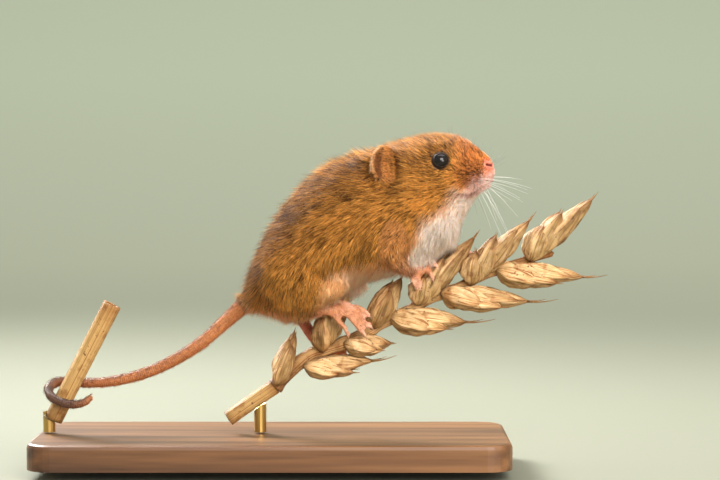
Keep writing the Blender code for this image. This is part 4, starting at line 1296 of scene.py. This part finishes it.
def husk(foot, tip, width, thickness, ends, keel_angle, shoulder, phase):
    """A keeled, folded husk from its foot to its beak. Ends are the y of its foot and tip."""
    foot = np.array([foot[0], ends[0], foot[1]])
    tip = np.array([tip[0], ends[1], tip[1]])
    ahead = unit(tip - foot)
    across = unit(np.cross(ahead, (0.0, 1.0, 0.0)))
    if across[2] < 0:
        across = -across
    deep = np.cross(across, ahead)
    outward = math.copysign(1.0, ends[1]) * math.copysign(1.0, deep[1])
    points, faces, marks = [foot], [], [(0.0, 0.0, 0.5)]
    for i in range(HUSK_RINGS):
        share = 0.03 + 0.95 * i / (HUSK_RINGS - 1)
        rise = math.sin(0.5 * math.pi * min(share / HUSK_BROADEST, 1.0)) ** 0.75
        size = rise * (1 - max((share - HUSK_BROADEST) / 0.62, 0.0) ** shoulder) ** 0.8
        sharp = smooth_step(share, 0.05, 0.5)
        centre = foot + (tip - foot) * share
        for j in range(HUSK_SIDES):
            turn = 2 * math.pi * j / HUSK_SIDES
            off = min(turn, 2 * math.pi - turn)
            t = outward * (math.radians(keel_angle) + turn)
            ridge = (0.3 * math.exp(-off / 0.22) - 0.2 * math.exp(-(((off - 0.8) / 0.45) ** 2))) * sharp
            margin = -0.12 * math.exp(-(((turn - HUSK_MARGIN) / 0.2) ** 2))
            veins = 0.03 * math.cos(9 * turn) * sharp
            folds = 0.08 * math.sin(3 * turn + 7 * share + phase)
            folds += 0.06 * math.sin(5 * turn - 13 * share + 2 * phase)
            reach = size * (1 + ridge + margin + veins + folds)
            flat = width / 2 * math.cos(t) * across + thickness / 2 * math.sin(t) * deep
            points.append(centre + reach * flat)
            lit = 1.0 if turn > math.pi or turn < 0.05 else 0.25
            shadow = 1.1 * math.exp(-(((turn - HUSK_MARGIN) / 0.22) ** 2)) + 5.0 * max(-folds - 0.04, 0.0)
            marks.append((share, turn, max(lit - shadow, 0.0)))
    points.append(tip)
    marks.append((1.0, 0.0, 1.0))
    last = len(points) - 1
    for j in range(HUSK_SIDES):
        b = (j + 1) % HUSK_SIDES
        faces += [(0, 1 + b, 1 + j), (last, last - HUSK_SIDES + j, last - HUSK_SIDES + b)]
        for i in range(HUSK_RINGS - 1):
            start = 1 + i * HUSK_SIDES
            faces.append((start + j, start + b, start + b + HUSK_SIDES, start + j + HUSK_SIDES))
    return points, faces, marks


def awn(tip, before, length, bend):
    """A fine bristle that carries on from the tip of a husk."""
    ahead = unit(np.array(tip) - np.array(before))
    rows = []
    for share in np.linspace(0.0, 1.0, 7):
        place = tip + ahead * (length * share - 0.5) + np.array([0.0, 0.0, bend * share**2])
        rows.append((*place, AWN_RADIUS * (1 - 0.85 * share)))
    return tube(rows, 6)


def make_wheat():
    """The ear with two glumes and three pairs of lemmas in each spikelet."""
    chance = np.random.default_rng(RANDOM_SEED)
    pile = Pile()
    rachis = smooth_rows([(x, 0.0, z) for x, z in RACHIS], 120)
    radii = np.linspace(RACHIS_RADII[0], RACHIS_RADII[1], 120)
    feet = np.array([(s[0][0], 0.0, s[0][1]) for s in SPIKELETS])
    for i, place in enumerate(rachis):
        near = np.min(np.linalg.norm(feet - place, axis=1))
        radii[i] *= 0.9 + 0.28 * math.exp(-((near / 1.0) ** 2))
    pile.add(tube(np.column_stack([rachis, radii]), 18), 0.05)
    for foot, glume_tip, lemma_tip, width, bristle in SPIKELETS:
        foot, glume_tip, lemma_tip = (np.array(p) for p in (foot, glume_tip, lemma_tip))
        rises = glume_tip[1] > foot[1] + 3
        keel = 75.0 if rises else 105.0
        picks = (0.04, 0.5) if rises else (0.2, 1.0)
        run = (lemma_tip - foot) / np.linalg.norm(lemma_tip - foot)
        aside = np.array([-run[1], run[0]]) * (1 if rises else -1)
        for side in (NEAR, FAR):
            ends = (side * 1.35, side * 2.75)
            phase = chance.uniform(0.0, 6.0)
            glume = husk(foot, glume_tip, width, 3.3, ends, keel, GLUME_SHOULDER, phase)
            pile.add(glume, chance.uniform(*picks))
            beak = np.array([glume_tip[0], ends[1], glume_tip[1]])
            pile.add(awn(beak, np.array([foot[0], ends[0], foot[1]]), 1.1, 0.15), 0.0)
            for start, end, shift, size, deep in LEMMAS:
                begin = foot + (lemma_tip - foot) * start * 0.8
                ending = glume_tip + (lemma_tip - glume_tip) * end
                if end < 1.0:
                    ending = ending + aside * shift * chance.uniform(0.8, 1.3)
                ends = (side * deep * 0.6, side * deep)
                angle = keel + chance.uniform(-14, 14)
                phase = chance.uniform(0.0, 6.0)
                scale = husk(begin, ending, width * size, 2.9 * size, ends, angle, LEMMA_SHOULDER, phase)
                pile.add(scale, chance.uniform(*picks))
                tip = np.array([ending[0], ends[1], ending[1]])
                before = np.array([begin[0], ends[0], begin[1]])
                long = bristle * (1.0 if side == NEAR else 0.6) if end == 1.0 else 0.35 + 0.18 * bristle
                pile.add(awn(tip, before, long + 0.5, 0.2 * long), 0.0)
    return pile.made("wheat_ear")


def straw_material(name, light, mid, dark, under, slant):
    """Dry straw: long fine veins, brown blotches and specks, and painted shade on the lower side of each
    husk, along its margin and in its fold valleys.
    """
    material, tree, shader = new_material(name, roughness=0.5, specular_ior_level=0.4)
    along, around, pick, face = (add(tree, "ShaderNodeAttribute", attribute_name=word)
                                 for word in ("along", "around", "pick", "lit_face"))
    inputs = {0: along.outputs["Fac"], 1: slant}
    lengthwise = add(tree, "ShaderNodeMath", inputs, operation="MULTIPLY").outputs[0]
    shift = add(tree, "ShaderNodeCombineXYZ", {2: lengthwise}).outputs[0]
    inputs = {0: around.outputs["Vector"], 1: shift}
    place = add(tree, "ShaderNodeVectorMath", inputs, operation="ADD").outputs[0]
    streak = add(tree, "ShaderNodeTexNoise", {"Vector": place, "Scale": 7.0, "Detail": 4.0}).outputs["Fac"]
    tone = ramp(tree, streak, ((0.36, dark), (0.44, mid), (0.52, light), (0.66, mid)))
    # Painted shade: the under colour, darkened, is laid where lit_face is low, on each husk's shaded side,
    # margin and folds.
    shaded_side = ramp(tree, streak, ((0.38, under * 0.45), (0.6, under * 0.9)))
    tone = blended(tree, shaded_side, tone, face.outputs["Fac"], "MIX")
    varied = ramp(tree, pick.outputs["Fac"],
                  ((0.0, (0.6, 0.46, 0.3)), (0.1, (0.84, 0.78, 0.68)), (0.5, (1.0, 1.0, 1.0)),
                   (1.0, (1.12, 1.1, 1.04))))
    ends = ramp(tree, along.outputs["Fac"],
                ((0.0, (0.42, 0.32, 0.2)), (0.16, (0.94, 0.9, 0.84)), (0.5, (1.0, 1.0, 1.0)),
                 (0.8, (0.96, 0.9, 0.82)), (1.0, (0.6, 0.42, 0.28))))
    blotch = ramp(tree, object_noise(tree, 480.0, 4.0), ((0.34, (0.6, 0.44, 0.3)), (0.46, (1.0, 1.0, 1.0))))
    specks = ramp(tree, object_noise(tree, 1500.0, 2.0), ((0.28, (0.3, 0.2, 0.13)), (0.33, (1.0, 1.0, 1.0))))
    for layer, share in ((varied, 1.0), (ends, 1.0), (blotch, 0.8), (specks, 0.9)):
        tone = blended(tree, tone, layer, share)
    tree.links.new(tone, shader.inputs["Base Color"])
    ribs = add(tree, "ShaderNodeTexNoise", {"Vector": place, "Scale": 13.0, "Detail": 2.0}).outputs["Fac"]
    crumpled = object_noise(tree, 650.0, 3.0)
    height = add(tree, "ShaderNodeMath", {0: crumpled, 1: 1.3, 2: ribs}, operation="MULTIPLY_ADD").outputs[0]
    tree.links.new(bump(tree, height, 1.0, 0.26), shader.inputs["Normal"])
    return material


def cut_straw(line, radius):
    """A ribbed stalk that is cut at both ends, with its hollow showing."""
    rows = smooth_rows([(x, 0.0, z) for x, z in line], STRAW_RINGS)
    ahead = unit(rows[-1] - rows[-2])
    back = unit(rows[0] - rows[1])
    deep = radius * 1.6
    bore = radius * STRAW_HOLLOW
    outer = np.column_stack([rows, np.full(len(rows), radius)])
    inner_end = np.array([(*rows[-1], bore), (*(rows[-1] - ahead * deep), bore)])
    inner_start = np.array([(*(rows[0] - back * deep), bore), (*rows[0], bore)])
    rows = np.vstack([inner_start, outer, inner_end])
    turns = np.linspace(0.0, 2 * math.pi, STRAW_SIDES, endpoint=False)
    across = unit(np.cross(ahead, (0.0, 1.0, 0.0)))
    sideways = np.array([0.0, 1.0, 0.0])
    points, marks = [], []
    for i, (x, y, z, size) in enumerate(rows):
        for t in turns:
            rib = 1 + 0.022 * math.cos(9 * t + 0.4 * math.sin(i * 0.13)) * (size == radius)
            spoke = math.cos(t) * across + math.sin(t) * sideways
            points.append(np.array([x, y, z]) + size * rib * spoke)
            marks.append((min(max((i - 2) / STRAW_RINGS, 0.0), 1.0), t, 1.0))
    faces = ring_faces(len(rows), STRAW_SIDES)
    for row in (0, len(rows) - 1):
        faces += end_faces(len(points), row, STRAW_SIDES)
        points.append(rows[row][:3])
        marks.append((0.5, 0.0, 1.0))
    return points, faces, marks


def make_perch():
    """The ear, its stem and the stalk that the tail holds."""
    # The fourth colour of each is the tone of the painted shade on a husk's shaded side.
    husks = straw_material("wheat husk", colour(240, 206, 158), colour(214, 168, 112), colour(156, 100, 54),
                           colour(184, 146, 90), 0.22)
    straw = straw_material("straw", colour(206, 170, 112), colour(186, 144, 84), colour(158, 110, 56),
                           colour(176, 144, 90), 0.04)
    ear = make_wheat()
    outward_faces(ear)
    finish_piece(ear, husks, ("perch_ear",))
    for name, line, radius, node in (("wheat_stem", STEM, STEM_RADIUS, "perch_stem"),
                                     ("tall_stalk", (STALK_BOTTOM, STALK_TOP), STALK_RADIUS, "perch_stalk")):
        pile = Pile()
        pile.add(cut_straw(line, radius), 0.45)
        made = pile.made(name)
        outward_faces(made)
        finish_piece(made, straw, (node,))


def make_claws():
    """A small hooked claw on every digit."""
    pile = Pile()
    for before, last in DIGIT_ENDS:
        before, last = np.array(before), np.array(last)
        ahead = unit(last - before)
        rows = []
        for share in np.linspace(-0.25, 1.0, 8):
            bend = np.array([0.0, 0.0, -0.5]) * max(share, 0.0) ** 2
            rows.append((*(last + 0.85 * (ahead * share + bend)), 0.2 * (1 - 0.86 * max(share, 0.0) ** 1.3)))
        pile.add(tube(rows, 8), 0.0)
    return pile.made("claws")


def make_whiskers(surface):
    """Long tapering whiskers in rows on the whisker pads, and a few above the eyes."""
    chance = np.random.default_rng(RANDOM_SEED + 1)
    pile = Pile()

    def whisker(x, z, side, up_angle, out, length, droop, dark, radius=WHITE_WHISKER):
        hit = surface.ray_cast(Vector((x, side * 40.0, z)), Vector((0.0, -side, 0.0)))[0]
        if hit is None:
            return
        root = np.array(hit)
        ahead = unit((math.cos(up_angle), side * out, math.sin(up_angle)))
        rows = []
        for share in np.linspace(0.0, 1.0, 9):
            bend = np.array([0.0, -side * 0.10, -droop]) * length * share**2
            place = root + ahead * (length * share - 0.3) + bend
            rows.append((*place, radius * (1 - 0.75 * share)))
        pile.add(tube(rows, 5), dark)

    for side in (NEAR, FAR):
        for row, rise in enumerate(WHISKER_ROWS):
            for column in range(WHISKER_COLUMNS):
                x = 41.2 - 0.85 * column + chance.uniform(-0.2, 0.2)
                z = 56.3 - 0.7 * row - 0.15 * column + chance.uniform(-0.15, 0.15)
                angle = math.radians(rise + chance.uniform(-12, 12))
                dark = 1.0 if row < 2 or column == 3 else 0.0
                length = (6.5 + 2.0 * column) * chance.uniform(0.75, 1.2) * (1.0 if dark else 1.35)
                spread = 0.35 + 0.5 * column
                radius = DARK_WHISKER if dark else WHITE_WHISKER
                whisker(x, z, side, angle, spread, length, 0.12, dark, radius)
        for x, z, angle, length in BROW_WHISKERS:
            whisker(x, z, side, math.radians(angle), 0.4, length, 0.0, 1.0)
    return pile.made("whiskers")


def whisker_material():
    material, tree, shader = new_material("whisker", roughness=0.4)
    dark = add(tree, "ShaderNodeAttribute", attribute_name="pick").outputs["Fac"]
    tone = ramp(tree, dark, ((0.0, colour(250, 248, 244)), (1.0, colour(78, 60, 46))))
    tree.links.new(tone, shader.inputs["Base Color"])
    return material


# Stage


def plain_material(name, tone, roughness, metallic=0.0):
    material, _, shader = new_material(name, roughness=roughness, metallic=metallic)
    shader.inputs["Base Color"].default_value = (*tone, 1.0)
    return material


def oak_material():
    """Dark oiled wood with its grain along the base."""
    material, tree, shader = new_material("oiled oak", roughness=0.42, specular_ior_level=0.45)
    broad = object_noise(tree, 60.0, 4.0, (0.12, 1.0, 1.0))
    fine = object_noise(tree, 420.0, 5.0, (0.05, 1.0, 1.0))
    grain = add(tree, "ShaderNodeMath", {0: broad, 1: fine}, operation="ADD").outputs[0]
    half = add(tree, "ShaderNodeMath", {0: grain, 1: 0.5}, operation="MULTIPLY").outputs[0]
    tone = ramp(tree, half, ((0.34, colour(62, 38, 22)), (0.48, colour(104, 68, 40)),
                             (0.6, colour(134, 92, 56))))
    tree.links.new(tone, shader.inputs["Base Color"])
    tree.links.new(bump(tree, fine, 0.35, 0.1), shader.inputs["Normal"])
    return material


def paper_material():
    """A pale matt backdrop, a little darker near the model so that the floor isn't glaring."""
    material, tree, shader = new_material("pale paper", roughness=0.9)
    place = add(tree, "ShaderNodeTexCoord").outputs["Object"]
    back = add(tree, "ShaderNodeSeparateXYZ", {0: place}).outputs["Y"]
    tone = ramp(tree, back, ((0.0, colour(128, 129, 112)), (0.5, colour(152, 156, 136)),
                             (1.0, colour(172, 180, 158))))
    tree.links.new(tone, shader.inputs["Base Color"])
    return material


def dress_nodes():
    """Finishes of the CAD nodes that show as they are."""
    brass = plain_material("brass", colour(190, 155, 90), 0.3, 1.0)
    for name, material in (("stand_base", oak_material()), ("stand_rod_ear", brass),
                           ("stand_rod_stalk", brass)):
        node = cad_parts[name]
        node.data.materials.clear()
        node.data.materials.append(material)


def make_backdrop():
    """A pale floor that curves up behind."""
    rows = smooth_rows(BACKDROP, 40)
    points, faces = [], []
    for y, z in rows:
        points += [(-BACKDROP_HALF_WIDTH, y, z), (BACKDROP_HALF_WIDTH, y, z)]
    for i in range(len(rows) - 1):
        faces.append((2 * i, 2 * i + 1, 2 * i + 3, 2 * i + 2))
    floor = to_object("floor", points, faces)
    floor.data.materials.append(paper_material())
    floor.data.shade_smooth()


def make_sky():
    """Even pale light from all round."""
    world = bpy.data.worlds.new("sky")
    bpy.context.scene.world = world
    world.use_nodes = True
    background = world.node_tree.nodes["Background"]
    background.inputs["Color"].default_value = SKY_TONE
    background.inputs["Strength"].default_value = SKY_STRENGTH


def make_lamp(name, place, size, watts, tone, spread):
    """A soft square lamp that points at the model."""
    light = bpy.data.lights.new(name, "AREA")
    light.shape = "RECTANGLE"
    light.size, light.size_y = size
    light.energy = watts
    light.color = tone
    light.spread = math.radians(spread)
    made = link(name, light)
    made.location = place
    made.rotation_euler = (Vector(LAMP_AIM) - Vector(place)).to_track_quat("-Z", "Y").to_euler()


def make_camera():
    """The camera at the photo's angle."""
    camera = bpy.data.cameras.new("camera")
    camera.lens = CAMERA_LENS
    camera.sensor_width = CAMERA_SENSOR
    camera.clip_start = 0.01
    made = link("camera", camera)
    look = Vector(CAMERA_LOOK)
    distance = PICTURE_WIDTH * CAMERA_LENS / CAMERA_SENSOR
    tilt = math.radians(CAMERA_TILT)
    made.location = look + Vector((0.0, -distance * math.cos(tilt), distance * math.sin(tilt)))
    made.rotation_euler = (look - made.location).to_track_quat("-Z", "Y").to_euler()
    bpy.context.scene.camera = made
    bpy.context.scene.view_settings.view_transform = "Standard"


def make_stage():
    """Everything round the model: backdrop, light and camera."""
    make_backdrop()
    make_sky()
    for lamp in LAMPS:
        make_lamp(*lamp)
    make_camera()


def build():
    skin = make_skin()
    make_coat(skin)
    surface = BVHTree.FromObject(skin, bpy.context.evaluated_depsgraph_get())
    whiskers = make_whiskers(surface)
    finish_piece(skin, skin_material(), FLESH)
    finish_piece(whiskers, whisker_material())
    finish_piece(make_claws(), plain_material("claw", colour(168, 130, 100), 0.35))
    make_eyes()
    make_perch()
    dress_nodes()
    make_stage()


build()
